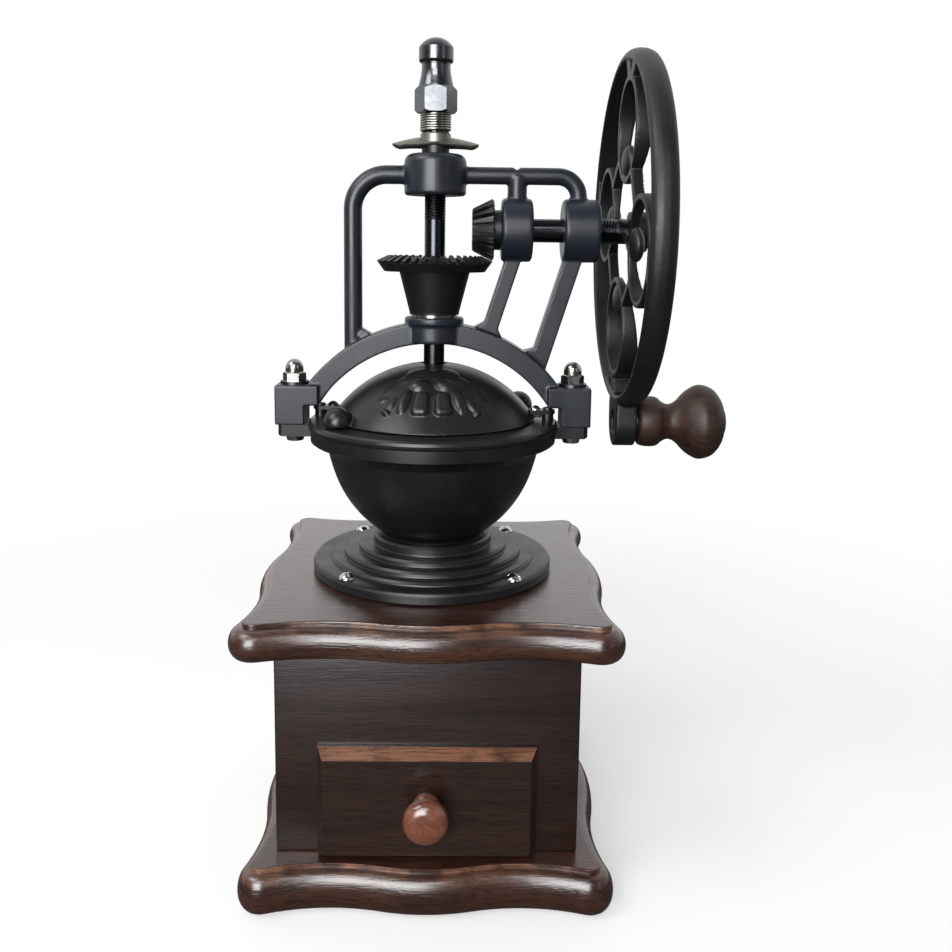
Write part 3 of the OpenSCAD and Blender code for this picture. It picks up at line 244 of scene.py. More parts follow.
def wavy_board(name, node):
    """A board sawn to the outline, its nose and its step routed in rings of insets up and down."""
    low, high = (Vector(c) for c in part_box(node))
    thick = high.z - low.z
    outline = wavy_outline((high.x - low.x) / 2, (high.y - low.y) / 2)
    deselect()
    bpy.ops.mesh.primitive_circle_add(vertices=len(outline), radius=high.x, fill_type="NGON",
                                      location=(0, 0, low.z + NOSE_LOW * thick))
    bpy.ops.object.transform_apply(location=True)
    board = bpy.context.object
    board.name = name
    for vertex, (x, y) in zip(board.data.vertices, outline):
        vertex.co.x, vertex.co.y = x, y
    bpy.ops.object.mode_set(mode="EDIT")
    bpy.ops.mesh.select_all(action="SELECT")
    bpy.ops.mesh.extrude_region_move(TRANSFORM_OT_translate={"value": (0, 0, FIRST_LIFT)})
    bpy.ops.mesh.select_all(action="SELECT")
    bpy.ops.mesh.normals_make_consistent(inside=False)
    top = thick * (1 - NOSE_LOW)
    rise = top - STEP_UP
    nose = [math.radians(90 * i / 10) for i in range(1, 11)]
    upper = [(NOSE_IN * (1 - math.cos(a)), rise * math.sin(a)) for a in nose]
    upper += [(NOSE_IN + LEDGE, rise + 0.02 * MM), (NOSE_IN + LEDGE + 0.03 * MM, top - STEP_SOFT),
              (NOSE_IN + LEDGE + 0.1 * MM, top - 0.3 * STEP_SOFT), (NOSE_IN + LEDGE + STEP_SOFT, top),
              (NOSE_IN + LEDGE + STEP_SOFT + WORN_AND_LIT_BAND, top + 0.001 * MM)]
    under = NOSE_LOW * thick
    belly = [math.radians(90 * i / 8) for i in range(1, 9)]
    lower = [(FOOT_IN * (1 - math.cos(a)), under * math.sin(a)) for a in belly]
    for way, steps in ((1, upper), (-1, lower)):
        pick_faces(board, lambda f: f.normal.z * way > 0.9)
        done_in, done_up = 0, FIRST_LIFT if way > 0 else 0
        for inset, up in steps:
            bpy.ops.mesh.inset(thickness=max(inset - done_in, 1e-7), depth=up - done_up, use_even_offset=True)
            done_in, done_up = inset, up
    bpy.ops.object.mode_set(mode="OBJECT")
    # Each inset adds one ring of points: the nose first, then the step.
    # The step's rings take all of the lighter colour and the upper half of the nose a part of it: stain
    # rubbed off, and painted light where these faces turn up to the lamps.
    rub_and_light = board.data.attributes.new("worn_and_lit", "FLOAT", "POINT")
    step_from = len(upper) - 4
    nose_from = len(nose) // 2
    for i in range(len(board.data.vertices)):
        ring = i // len(outline) - 2
        if step_from <= ring < len(upper) - 1:
            rub_and_light.data[i].value = STEP_WORN_AND_LIT
        elif nose_from <= ring < step_from:
            rub_and_light.data[i].value = NOSE_WORN_AND_LIT
    return board


# Its third colour is the lighter brown of the step and the upper nose: rubbed stain and painted light.
board_walnut = stained_wood("stained_walnut_board", "#2b1712", "#543325", "#7c5744", gloss=0.27, lift=0.4)
base = wavy_board("base_board_routed", "base_board")
screws_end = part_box("base_screws")[1]
hole_x, hole_y = screws_end[0] - SCREW_HEAD_R, screws_end[1] - SCREW_HEAD_R
for x in (-hole_x, hole_x):
    for y in (-hole_y, hole_y):
        drill(base, x, y, -MM, SINK_DEEP, SINK_R)
        drill(base, x, y, SINK_DEEP - MM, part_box("base_board")[1][2] + MM, SHANK_R)
hand_over(base, board_walnut, "board_wood", "body", "base_board")

# Base screws
# Four countersunk steel screws, driven from below through the base board into the side walls.
# Zinc plated, so a soft grey shine with a slot across the head.
TOOL_MARK = 0.4 * MM
TOOL_MARK_DEEP = 0.03 * MM
HANDLED_PATCH = 4 * MM


def plated_steel(name, colour, roughness, brushed=0.0):
    """Turned or drawn steel under a thin plating: a clear metal reflection that the tool marks and
    the handling of the years blur unevenly."""
    finish, tree, shader = new_finish(name)
    place = add_node(tree, "TexCoord").outputs["Object"]
    haze = add_node(tree, "TexNoise", Vector=place, Scale=1 / HANDLED_PATCH, Detail=4.0, Roughness=0.6)
    spread = add_node(tree, "MapRange", Value=haze.outputs[0], From_Min=0.3, From_Max=0.7,
                      To_Min=roughness * 0.75, To_Max=min(roughness * 1.35, 1.0))
    tree.links.new(spread.outputs[0], shader.inputs["Roughness"])
    stain = add_node(tree, "MixRGB", Fac=haze.outputs[0], Color1=srgb(colour),
                     Color2=tuple(c * 0.72 for c in srgb(colour)[:3]) + (1.0,))
    tree.links.new(stain.outputs[0], shader.inputs["Base Color"])
    shader.inputs["Metallic"].default_value = 1.0
    if brushed:
        mark = add_node(tree, "TexNoise", Vector=place, Scale=1 / TOOL_MARK, Detail=2.0)
        rough = add_node(tree, "Bump", Strength=brushed, Distance=TOOL_MARK_DEEP, Height=mark.outputs[0])
        tree.links.new(rough.outputs[0], shader.inputs["Normal"])
    return finish


def dress(node, finish):
    """Keeps a solid as it is and gives it its finish."""
    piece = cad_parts[node]
    piece.data.materials.clear()
    piece.data.materials.append(finish)


zinc = plated_steel("zinc_plated_steel", "#b9bbbd", 0.32)
dress("base_screws", zinc)

# Box
# Four boards of the same stained wood, glued between the two wavy boards. The front has an opening
# for the drawer, and its upright corners are sanded round.
WALL_SOFT = 0.8 * MM
SIDE_SOFT = 0.15 * MM
DRAWER_GAP = 0.6 * MM
DRAWER_LIP = 5 * MM


def planed_board(name, low, high, soft):
    """A planed board between two corners of its box, its arrises taken off with sandpaper."""
    deselect()
    low, high = Vector(low), Vector(high)
    bpy.ops.mesh.primitive_cube_add(size=1, location=(low + high) / 2, scale=high - low)
    bpy.ops.object.transform_apply(location=True, rotation=True, scale=True)
    board = bpy.context.object
    board.name = name
    bpy.ops.object.mode_set(mode="EDIT")
    bpy.ops.mesh.select_all(action="SELECT")
    bpy.ops.mesh.bevel(offset=soft, segments=3, affect="EDGES")
    bpy.ops.object.mode_set(mode="OBJECT")
    return board


wall_walnut, side_walnut = (
    stained_wood(name, "#1c0e0b", "#2f1a14", "#6a4230", grain=grain, gloss=0.34, bands=0.5)
    for name, grain in (("stained_walnut_wall", "X"), ("stained_walnut_side_wall", "Y")))
front_low, front_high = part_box("box_front")
front = planed_board("box_front_wall", front_low, front_high, WALL_SOFT)
tray_low, tray_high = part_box("drawer_sides")
opening = planed_board("drawer_opening",
                       (tray_low[0] - DRAWER_GAP, front_low[1] - MM, tray_low[2] - DRAWER_LIP),
                       (tray_high[0] + DRAWER_GAP, front_high[1] + MM, tray_high[2] + DRAWER_GAP), 0.2 * MM)
cut_away(front, opening)
hand_over(front, wall_walnut, "box_wood", "body", "box_front")
back_wall = planed_board("box_back_wall", *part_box("box_back"), WALL_SOFT)
hand_over(back_wall, wall_walnut, "box_wood", "body", "box_back")
for side in ("left", "right"):
    wall = planed_board(f"box_{side}_wall", *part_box("box_" + side), SIDE_SOFT)
    hand_over(wall, side_walnut, "box_wood", "body", "box_" + side)

# Top board
# The same routed board on top of the box, with a round chute hole under the mill.
CHUTE_R = 20 * MM
top = wavy_board("top_board_routed", "top_board")
low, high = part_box("top_board")
drill(top, 0, 0, low[2] - MM, high[2] + MM, CHUTE_R)
hand_over(top, board_walnut, "board_wood", "body", "top_board")

# Drawer
# A plain tray of pale wood, nailed and glued, that slides on two strips. Its stained front has a
# wide sloped border, sawn and sanded. Its upper slope, which faces up, is painted a lighter brown in
# patches: painted light from above, with stain rubbed thin.
FRONT_EDGE = 1.6 * MM
FRONT_SLOPE = 2.6 * MM
FRONT_SOFT = 0.5 * MM
TRAY_WALL = 6 * MM
TRAY_SOFT = 0.3 * MM

pale_tray = stained_wood("raw_tray_wood", "#8d6543", "#a98058", "#a98058", grain="Y", gloss=0.6, bands=0.8)


def join(pieces):
    """Glues or casts several bodies into the first one."""
    deselect()
    for piece in pieces:
        piece.select_set(True)
    bpy.context.view_layer.objects.active = pieces[0]
    bpy.ops.object.join()
    return pieces[0]


left = planed_board("drawer_tray_sides", tray_low, (tray_low[0] + TRAY_WALL, *tray_high[1:]), TRAY_SOFT)
right = planed_board("tray_right", (tray_high[0] - TRAY_WALL, *tray_low[1:]), tray_high, TRAY_SOFT)
hand_over(join([left, right]), pale_tray, "tray_wood", "drawer", "drawer_sides")
tray_back = planed_board("drawer_tray_back", *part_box("drawer_back"), TRAY_SOFT)
hand_over(tray_back, pale_tray, "tray_wood", "drawer", "drawer_back")
tray_floor = planed_board("drawer_tray_floor", *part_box("drawer_floor"), TRAY_SOFT / 2)
hand_over(tray_floor, pale_tray, "tray_wood", "drawer", "drawer_floor")
rail_wood = stained_wood("raw_strip_wood", "#6b4a30", "#86603f", "#86603f", grain="Y", gloss=0.6)
dress("drawer_rails", rail_wood)

# Its third colour is the lighter brown painted on the upper slope: painted light with rubbed stain.
drawer_walnut = stained_wood("stained_walnut_drawer", "#1e100c", "#38201a", "#7c5440", gloss=0.32,
                             bands=0.5, patch_from=0.22)
low, high = (Vector(c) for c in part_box("drawer_front"))
face = planed_board("drawer_front_bevelled", (low.x, high.y - FRONT_EDGE, low.z), high, 0.05 * MM)
bpy.ops.object.mode_set(mode="EDIT")
pick_faces(face, lambda f: f.normal.y < -0.9 and f.calc_area() > 1e-4)
bpy.ops.mesh.inset(thickness=FRONT_SLOPE, depth=high.y - FRONT_EDGE - low.y, use_even_offset=True)
bpy.ops.mesh.inset(thickness=0.2 * MM, depth=0)
bpy.ops.object.mode_set(mode="OBJECT")
soft = face.modifiers.new("sanded", "BEVEL")
soft.width = FRONT_SOFT
soft.segments = 3
soft.limit_method = "ANGLE"
soft.angle_limit = math.radians(20)
bpy.ops.object.modifier_apply(modifier="sanded")
# Painted light: the faces of the upper slope that turn up get the lighter colour, as lit from above, in
# patches with stain rubbed thin.
rub_and_light = face.data.attributes.new("worn_and_lit", "FLOAT", "FACE")
for side in face.data.polygons:
    rub_and_light.data[side.index].value = 1.0 if side.normal.z > 0.3 and side.normal.y < -0.05 else 0.0
hand_over(face, drawer_walnut, "drawer_wood", "drawer", "drawer_front")

# Drawer knob
# A small turned knob of the same wood, glossy, held from inside by a countersunk screw.


def flowing(points, steps):
    """A smooth curve through a turner's few chosen points."""
    line = []
    for i in range(len(points) - 1):
        near = (points[max(i - 1, 0)], points[i], points[i + 1], points[min(i + 2, len(points) - 1)])
        for k in range(steps):
            t = k / steps
            line.append(tuple(0.5 * (2 * b + (c - a) * t + (2 * a - 5 * b + 4 * c - d) * t * t
                                     + (3 * b - a - 3 * c + d) * t ** 3) for a, b, c, d in zip(*near)))
    return line + [tuple(points[-1])]


def turned(name, profile, foot, axis, steps=96):
    """Spins a profile of (radius, height) about an axis through its foot, as on a lathe."""
    axis = Vector(axis).normalized()
    out = Vector((1, 0, 0)) if abs(axis.x) < 0.9 else Vector((0, 0, 1))
    foot = Vector(foot)
    spots = [foot + out * r + axis * h for r, h in profile]
    deselect()
    bpy.ops.mesh.primitive_plane_add(size=MM)
    piece = bpy.context.object
    piece.name = name
    bpy.ops.object.mode_set(mode="EDIT")
    bpy.ops.mesh.select_mode(type="VERT")
    mesh = bmesh.from_edit_mesh(piece.data)
    mesh.verts.ensure_lookup_table()
    bmesh.ops.delete(mesh, geom=[v for v in mesh.verts if v.index > 0], context="VERTS")
    mesh.verts.ensure_lookup_table()
    mesh.verts[0].co = spots[0]
    mesh.verts[0].select = True
    bmesh.update_edit_mesh(piece.data)
    for before, after in zip(spots, spots[1:]):
        bpy.ops.mesh.extrude_region_move(TRANSFORM_OT_translate={"value": after - before})
    bpy.ops.mesh.select_all(action="SELECT")
    bpy.ops.mesh.spin(steps=steps, angle=2 * math.pi, center=foot, axis=axis)
    bpy.ops.mesh.select_all(action="SELECT")
    bpy.ops.mesh.remove_doubles(threshold=0.002 * MM)
    bpy.ops.mesh.normals_make_consistent(inside=False)
    bpy.ops.object.mode_set(mode="OBJECT")
    return piece


knob_wood = stained_wood("turned_stained_beech", "#5c3528", "#7d4d3b", "#7d4d3b", grain="Y", gloss=0.2,
                         bands=0.8, figure=4 * MM, lift=0.0, pores=0.12)
low, high = (Vector(c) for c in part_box("drawer_knob"))
length = high.y - low.y
radius = (high.x - low.x) / 2
pull = [(0.62, 0), (0.6, 0.08), (0.5, 0.25), (0.62, 0.42), (0.93, 0.55), (1, 0.7), (0.9, 0.86),
        (0.6, 0.97), (0.2, 1)]
pull = [(0, 0)] + flowing(pull, 6) + [(0, 1)]
knob = turned("drawer_knob_turned", [(radius * r, length * h) for r, h in pull],
              ((low.x + high.x) / 2, high.y, (low.z + high.z) / 2), (0, -1, 0), steps=64)
hand_over(knob, knob_wood, "knob_wood", "drawer", "drawer_knob", smooth=50)
dress("drawer_knob_screw", zinc)

# Pedestal
# Cast iron foot of the mill, turned in wide flat rings like steps, under black satin enamel.
# Four round head screws hold it on the top board.


def black_enamel(name, colour, roughness=0.36, casting=1.6 * MM, depth=0.05 * MM):
    """Sand-cast iron under baked black enamel: satin, faintly bluish, with the soft grain of the mould
    still showing through. Moulding sand is finer: the grain is as coarse as it needs to be to show."""
    finish, tree, shader = new_finish(name)
    place = add_node(tree, "TexCoord").outputs["Object"]
    sand = add_node(tree, "TexNoise", Vector=place, Scale=1 / casting, Detail=3.0, Roughness=0.6)
    cloud = add_node(tree, "TexNoise", Vector=place, Scale=1 / (16 * MM), Detail=3.0)
    tone = add_node(tree, "MixRGB", Fac=cloud.outputs[0], Color1=srgb(colour),
                    Color2=tuple(c * 1.5 for c in srgb(colour)[:3]) + (1.0,))
    tree.links.new(tone.outputs[0], shader.inputs["Base Color"])
    spread = add_node(tree, "MapRange", Value=cloud.outputs[0], From_Min=0.3, From_Max=0.7,
                      To_Min=roughness - 0.05, To_Max=roughness + 0.07)
    tree.links.new(spread.outputs[0], shader.inputs["Roughness"])
    skin = add_node(tree, "Bump", Strength=0.35, Distance=depth, Height=sand.outputs[0])
    tree.links.new(skin.outputs[0], shader.inputs["Normal"])
    shader.inputs["IOR"].default_value = 1.5
    return finish


enamel = black_enamel("satin_black_enamel", "#0e0f11")
chrome = plated_steel("chromed_steel", "#dadcde", 0.12)
dress("pedestal", enamel)
dress("pedestal_screws", chrome)

# Bowl
# Cast iron hopper with a rolled rim and two ears for the frame, bolted on the pedestal from inside.
smooth_enamel = black_enamel("smooth_black_enamel", "#0d0e10", roughness=0.34, depth=0.03 * MM)
dress("bowl", smooth_enamel)
dress("bowl_screws", zinc)

# Burrs
# The fixed ring and the turning cone that grind the beans: grey iron, machined and hardened.
grey_iron = plated_steel("machined_grey_iron", "#77797c", 0.45, brushed=0.4)
for node in ("outer_burr", "inner_burr", "burr_nut"):
    dress(node, grey_iron)

# Lid
# Two half domes of cast iron with a raised palmette on each: two round eyes, blunt petals below them
# and a low scalloped field behind. Each swings out by its round knob, about a pin under a strap.
DOME_FOOT = 43.9 * MM
DOME_HIGH = 23.8 * MM
DOME_WALL = 2.6 * MM
DOME_HOLE = 5.6 * MM
DOME_BALL = (DOME_FOOT ** 2 + DOME_HIGH ** 2) / (2 * DOME_HIGH)
PETAL_ROOT = 1.6 * MM
PETAL_TAPER = 0.72
PETAL_SOFT = 0.62
FIELD_ROOT = 0.5 * MM
FIELD_RISE = 1 * MM
KNOB_R = 6.25 * MM
KNOB_FORWARD = 25 * MM
KNOB_UP = 1.4 * MM
TONGUE_LONG = 7.8 * MM
TONGUE_WIDE = 6.5 * MM
TONGUE_FROM = 1 * MM
TONGUE_TO = 2.4 * MM
LID_VOXEL = 0.38 * MM
LID_STEPS = 48


def on_dome(low_z, down, across, depth=0.0):
    """A spot on the front of the dome: so many degrees down from its top, so many mm to the side."""
    centre = Vector((0, 0, low_z + DOME_HIGH - DOME_BALL))
    down = math.radians(down)
    turn = math.asin(across * MM / (DOME_BALL * math.sin(down)))
    normal = Vector((math.sin(down) * math.sin(turn), -math.sin(down) * math.cos(turn), math.cos(down)))
    return centre + normal * (DOME_BALL - depth), normal


def cast_skin(piece, voxel, passes):
    """A casting has no sharp inner corners: a skin is drawn over all its parts and settled until its
    corners are as soft as the sand mould leaves them."""
    skin = piece.modifiers.new("skin", "REMESH")
    skin.mode = "VOXEL"
    skin.voxel_size = voxel
    bpy.ops.object.modifier_apply(modifier="skin")
    settle = piece.modifiers.new("settle", "SMOOTH")
    settle.factor = 0.5
    settle.iterations = passes
    bpy.ops.object.modifier_apply(modifier="settle")


def petal(low_z, start, end, width, rise, blunt):
    """One raised petal between two spots of the dome: a long ball, or a rounded block if it is blunt."""
    a = on_dome(low_z, *start)[0]
    b = on_dome(low_z, *end)[0]
    half = (b - a).length / 2 + 0.4 * width * MM
    deep = PETAL_ROOT + rise * MM
    spot, normal = on_dome(low_z, (start[0] + end[0]) / 2, (start[1] + end[1]) / 2, PETAL_ROOT)
    along = (b - a).normalized()
    turn = Matrix((along.cross(normal), along, normal)).transposed().to_euler()
    deselect()
    if blunt:
        bpy.ops.mesh.primitive_cube_add(size=2, location=spot, rotation=turn, scale=(width * MM, half, deep))
        bpy.ops.object.transform_apply(location=False, rotation=False, scale=True)
        for corner in bpy.context.object.data.vertices:
            corner.co.x *= PETAL_TAPER if corner.co.y < 0 else 1
        bpy.ops.object.mode_set(mode="EDIT")
        bpy.ops.mesh.select_mode(type="EDGE")
        bpy.ops.mesh.select_all(action="SELECT")
        bpy.ops.mesh.bevel(offset=PETAL_SOFT * width * MM, segments=6, affect="EDGES")
        bpy.ops.object.mode_set(mode="OBJECT")
    else:
        bpy.ops.mesh.primitive_uv_sphere_add(segments=40, ring_count=20, location=spot, rotation=turn,
                                             scale=(width * MM, half, deep))
    return bpy.context.object


def field(low_z, down, across, width):
    """One scallop of the low field: a flat cushion as round on top as the dome."""
    spot, normal = on_dome(low_z, down, across, FIELD_ROOT)
    deselect()
    bpy.ops.mesh.primitive_uv_sphere_add(segments=48, ring_count=24, location=spot,
                                         rotation=normal.to_track_quat("Z", "Y").to_euler(),
                                         scale=(width * MM, width * MM, FIELD_RISE))
    return bpy.context.object


# Each petal goes from one spot to another, (degrees down, mm across), then its width and rise in mm
# and whether it is blunt. Each scallop has its degrees down, mm across and width.
PETALS = (
    ((27.5, 5.5), (32, 5.5), 5.2, 2.3, False),
    ((36, 3.9), (46, 4.7), 3.9, 1.9, True),
    ((33, 9.2), (47, 12.6), 3.0, 1.8, False),
    ((38, 13.2), (47, 18.4), 2.5, 1.3, False),
    ((46.5, 18), (47.5, 18.8), 2.8, 1.5, False),
    ((38, 16.5), (44, 22), 1.9, 0.9, False),
)
SCALLOPS = ((21, 5, 6.5), (29, 9.5, 6.6), (36, 14.5, 6.2), (42, 18.5, 5.2))


def dome_curve(r, ball_z, start, end):
    """The dome's profile from one angle to another, measured from its top."""
    turns = [start + (end - start) * i / LID_STEPS for i in range(LID_STEPS + 1)]
    return [(r * math.sin(a), ball_z + r * math.cos(a)) for a in turns]


def half_dome(name, node):
    """Half of the turned dome with its relief, knob and tongue, cast as one. The rear half is the
    front one turned round."""
    low, high = (Vector(c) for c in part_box("lid_front_half"))
    ball_z = low.z + DOME_HIGH - DOME_BALL
    outer = dome_curve(DOME_BALL, ball_z, math.asin(DOME_FOOT / DOME_BALL), math.asin(DOME_HOLE / DOME_BALL))
    inner_r = DOME_BALL - DOME_WALL
    inner = dome_curve(inner_r, ball_z, math.asin(DOME_HOLE / inner_r), math.acos((low.z - ball_z) / inner_r))
    dome = turned(name, outer + inner + outer[:1], (0, 0, 0), (0, 0, 1), steps=120)
    bpy.ops.object.mode_set(mode="EDIT")
    bpy.ops.mesh.select_all(action="SELECT")
    bpy.ops.mesh.bisect(plane_co=(0, high.y, 0), plane_no=(0, 1, 0), use_fill=True, clear_outer=True)
    bpy.ops.object.mode_set(mode="OBJECT")
    parts = [dome]
    for side in (-1, 1):
        for (down_a, out_a), (down_b, out_b), width, rise, blunt in PETALS:
            parts.append(petal(low.z, (down_a, out_a * side), (down_b, out_b * side), width, rise, blunt))
        for down, across, width in SCALLOPS:
            parts.append(field(low.z, down, across * side, width))
    deselect()
    bpy.ops.mesh.primitive_uv_sphere_add(segments=48, ring_count=24, radius=KNOB_R,
                                         location=(low.x + KNOB_R, -KNOB_FORWARD, low.z + KNOB_UP))
    knob = bpy.context.object
    bpy.ops.object.mode_set(mode="EDIT")
    bpy.ops.mesh.select_all(action="SELECT")
    bpy.ops.mesh.bisect(plane_co=low, plane_no=(0, 0, -1), use_fill=True, clear_outer=True)
    bpy.ops.object.mode_set(mode="OBJECT")
    parts.append(knob)
    tongue = (high.x - TONGUE_LONG, -TONGUE_WIDE, low.z + TONGUE_FROM)
    parts.append(planed_board("tongue", tongue, (high.x, high.y, low.z + TONGUE_TO), 0.3 * MM))
    cast_skin(join(parts), LID_VOXEL, 3)
    if node == "lid_rear_half":
        dome.rotation_euler.z = math.pi
        bpy.ops.object.transform_apply(rotation=True)
    return dome


lid_enamel = black_enamel("lid_black_enamel", "#0e0f11", roughness=0.34, depth=0.03 * MM)
black_strap = black_enamel("black_strap_enamel", "#0e0f11", roughness=0.3)
dark_steel = plated_steel("blued_steel", "#5a5d63", 0.3)
for half in ("front", "rear"):
    hand_over(half_dome(f"lid_{half}_casting", f"lid_{half}_half"), lid_enamel, "black_iron", f"lid_{half}",
              f"lid_{half}_half", smooth=80)
    dress(f"lid_{half}_strap", black_strap)
dress("lid_front_screw", chrome)
dress("lid_rear_screw", dark_steel)
dress("lid_hinge_pins", dark_steel)

# Frame
# One iron casting: the arch over the lid, the post, the top bar, the head and the two bosses of the
# wheel's shaft, with small webs at the roots of the post and the struts. Satin black enamel.
# Each web has its end on the upright, (x, z), its end on the arch and its depth, in mm.
WEBS = (
    ((-30.7, 220.4), (-26.7, 218.0), 7.0),
    ((21.4, 223.7), (16.8, 221.3), 10.0),
    ((27.2, 220.9), (29.1, 216.8), 10.0),
    ((42.9, 212.6), (38.7, 211.4), 10.0),
)
WEB_BACK = 4.0
CAST_VOXEL = 0.5 * MM


def web(upright, arch, depth):
    """A small web of metal that fills an inner corner of the casting."""
    run = (arch[0] - upright[0], arch[1] - upright[1])
    width = math.hypot(*run)
    side = 1 if run[0] > 0 else -1
    out = (-run[1] / width * side, run[0] / width * side)
    x, z = ((upright[i] + arch[i] - out[i] * WEB_BACK) / 2 * MM for i in (0, 1))
    bpy.ops.mesh.primitive_cube_add(size=1, location=(x, 0, z), rotation=(0, -math.atan2(run[1], run[0]), 0))
    block = bpy.context.object
    block.scale = (width * MM, depth * MM, WEB_BACK * MM)
    bpy.ops.object.transform_apply(location=True, rotation=True, scale=True)
    return block


def cast_piece(name, node, passes, webs=()):
    """A casting after its solid, with the webs that the solid lacks."""
    deselect()
    piece = bpy.data.objects.new(name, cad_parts[node].data.copy())
    bpy.context.scene.collection.objects.link(piece)
    piece.select_set(True)
    bpy.context.view_layer.objects.active = piece
    bpy.ops.object.mode_set(mode="EDIT")
    bpy.ops.mesh.select_all(action="SELECT")
    bpy.ops.mesh.remove_doubles(threshold=0.001 * MM)
    bpy.ops.object.mode_set(mode="OBJECT")
    if webs:
        join([piece] + [web(*ends) for ends in webs])
    cast_skin(piece, CAST_VOXEL, passes)
    return piece


frame_enamel = black_enamel("frame_black_enamel", "#151a21", roughness=0.35, casting=1.2 * MM,
                            depth=0.04 * MM)
casting = cast_piece("frame_casting", "frame", 4, WEBS)
hand_over(casting, frame_enamel, "black_iron", "body", "frame", smooth=80)
nickel_steel = plated_steel("nickel_plated_steel", "#b4b3ae", 0.2)
dress("frame_bolts", nickel_steel)
dress("frame_nuts", nickel_steel)
dress("frame_washers", dark_steel)

# Shafts and gears
# Turned steel shafts and two cast bevel gears, blackened. The teeth of the small one are worn
# bright along their edges.
THREAD_PITCH = 1.25 * MM
THREAD_DEEP = 0.25 * MM
THREAD_RUN_OUT = 0.5 * MM
SPINDLE_THREAD = (27 * MM, 15 * MM)
AXLE_THREAD = 8 * MM
TOOTH_GRAIN = 0.8 * MM


def worn_gear(name, dark, bright):
    """Cast gear iron under blacking that runs off the tooth edges, where bare steel shines."""
    finish, tree, shader = new_finish(name)
    edge = add_node(tree, "NewGeometry").outputs["Pointiness"]
    worn_and_lit = add_node(tree, "MapRange", Value=edge, From_Min=0.56, From_Max=0.72)
    coat = add_node(tree, "MixRGB", Fac=worn_and_lit.outputs[0], Color1=srgb(dark), Color2=srgb(bright))
    tree.links.new(coat.outputs[0], shader.inputs["Base Color"])
    place = add_node(tree, "TexCoord").outputs["Object"]
    sand = add_node(tree, "TexNoise", Vector=place, Scale=1 / TOOTH_GRAIN, Detail=3.0)
    skin = add_node(tree, "Bump", Strength=0.3, Distance=0.04 * MM, Height=sand.outputs[0])
    tree.links.new(skin.outputs[0], shader.inputs["Normal"])
    tree.links.new(worn_and_lit.outputs[0], shader.inputs["Metallic"])
    shader.inputs["Roughness"].default_value = 0.38
    return finish


worn_pinion = worn_gear("worn_black_pinion", "#0d0d0f", "#6f6f70")


def threaded_steel(name, axis, start, end):
    """Dark polished shaft steel with a fine screw thread cut along one stretch of its length."""
    finish = plated_steel(name, "#43454a", 0.2)
    tree = finish.node_tree
    place = add_node(tree, "TexCoord").outputs["Object"]
    along = add_node(tree, "SeparateXYZ", Vector=place).outputs[axis]
    phase = add_node(tree, "Math", {"operation": "MULTIPLY"})
    tree.links.new(along, phase.inputs[0])
    phase.inputs[1].default_value = 2 * math.pi / THREAD_PITCH
    ridge = add_node(tree, "Math", {"operation": "SINE"})
    tree.links.new(phase.outputs[0], ridge.inputs[0])
    past = add_node(tree, "MapRange", Value=along, From_Min=start, From_Max=start + THREAD_RUN_OUT)
    short = add_node(tree, "MapRange", Value=along, From_Min=end, From_Max=end - THREAD_RUN_OUT)
    both = add_node(tree, "Math", {"operation": "MULTIPLY"})
    tree.links.new(past.outputs[0], both.inputs[0])
    tree.links.new(short.outputs[0], both.inputs[1])
    thread = add_node(tree, "Math", {"operation": "MULTIPLY"})
    tree.links.new(both.outputs[0], thread.inputs[0])
    tree.links.new(ridge.outputs[0], thread.inputs[1])
    cut = add_node(tree, "Bump", Strength=1.0, Distance=THREAD_DEEP, Height=thread.outputs[0])
    tree.links.new(cut.outputs[0], tree.nodes["Principled BSDF"].inputs["Normal"])
    return finish


head_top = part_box("frame")[1][2]
spindle_steel = threaded_steel("threaded_spindle_steel", "Z", *(head_top - down for down in SPINDLE_THREAD))
dress("spindle", spindle_steel)
dress("thrust_washer", nickel_steel)
dress("crown_gear", worn_gear("worn_black_crown_gear", "#0c0c0e", "#3c3c3e"))
dress("gear_pin", dark_steel)
wheel_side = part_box("wheel")[0][0]
dress("axle", threaded_steel("threaded_axle_steel", "X", wheel_side - AXLE_THREAD, wheel_side))
dress("pinion", worn_pinion)
dress("pinion_pin", dark_steel)

# Adjuster
# A collar, a stamped wing nut, a spring and a tall cap nut on the head of the shaft set the gap
# between the burrs.
WING_TOP = 1.2 * MM
WING_PLATE = 1.2 * MM
WING_DROOP = 3.2 * MM
WING_ROOF = 3.3 * MM
WING_EDGE = 0.25 * MM
WING_IN = 0.6 * MM
HUB_R = 6.4 * MM
HUB_BORE = 4.6 * MM
HUB_SOFT = 0.6 * MM
HUB_CHAMFER = 0.5 * MM
COILS = 7
WIRE_R = 0.5 * MM

dress("thrust_collar", black_enamel("collar_black_enamel", "#0e0f11"))


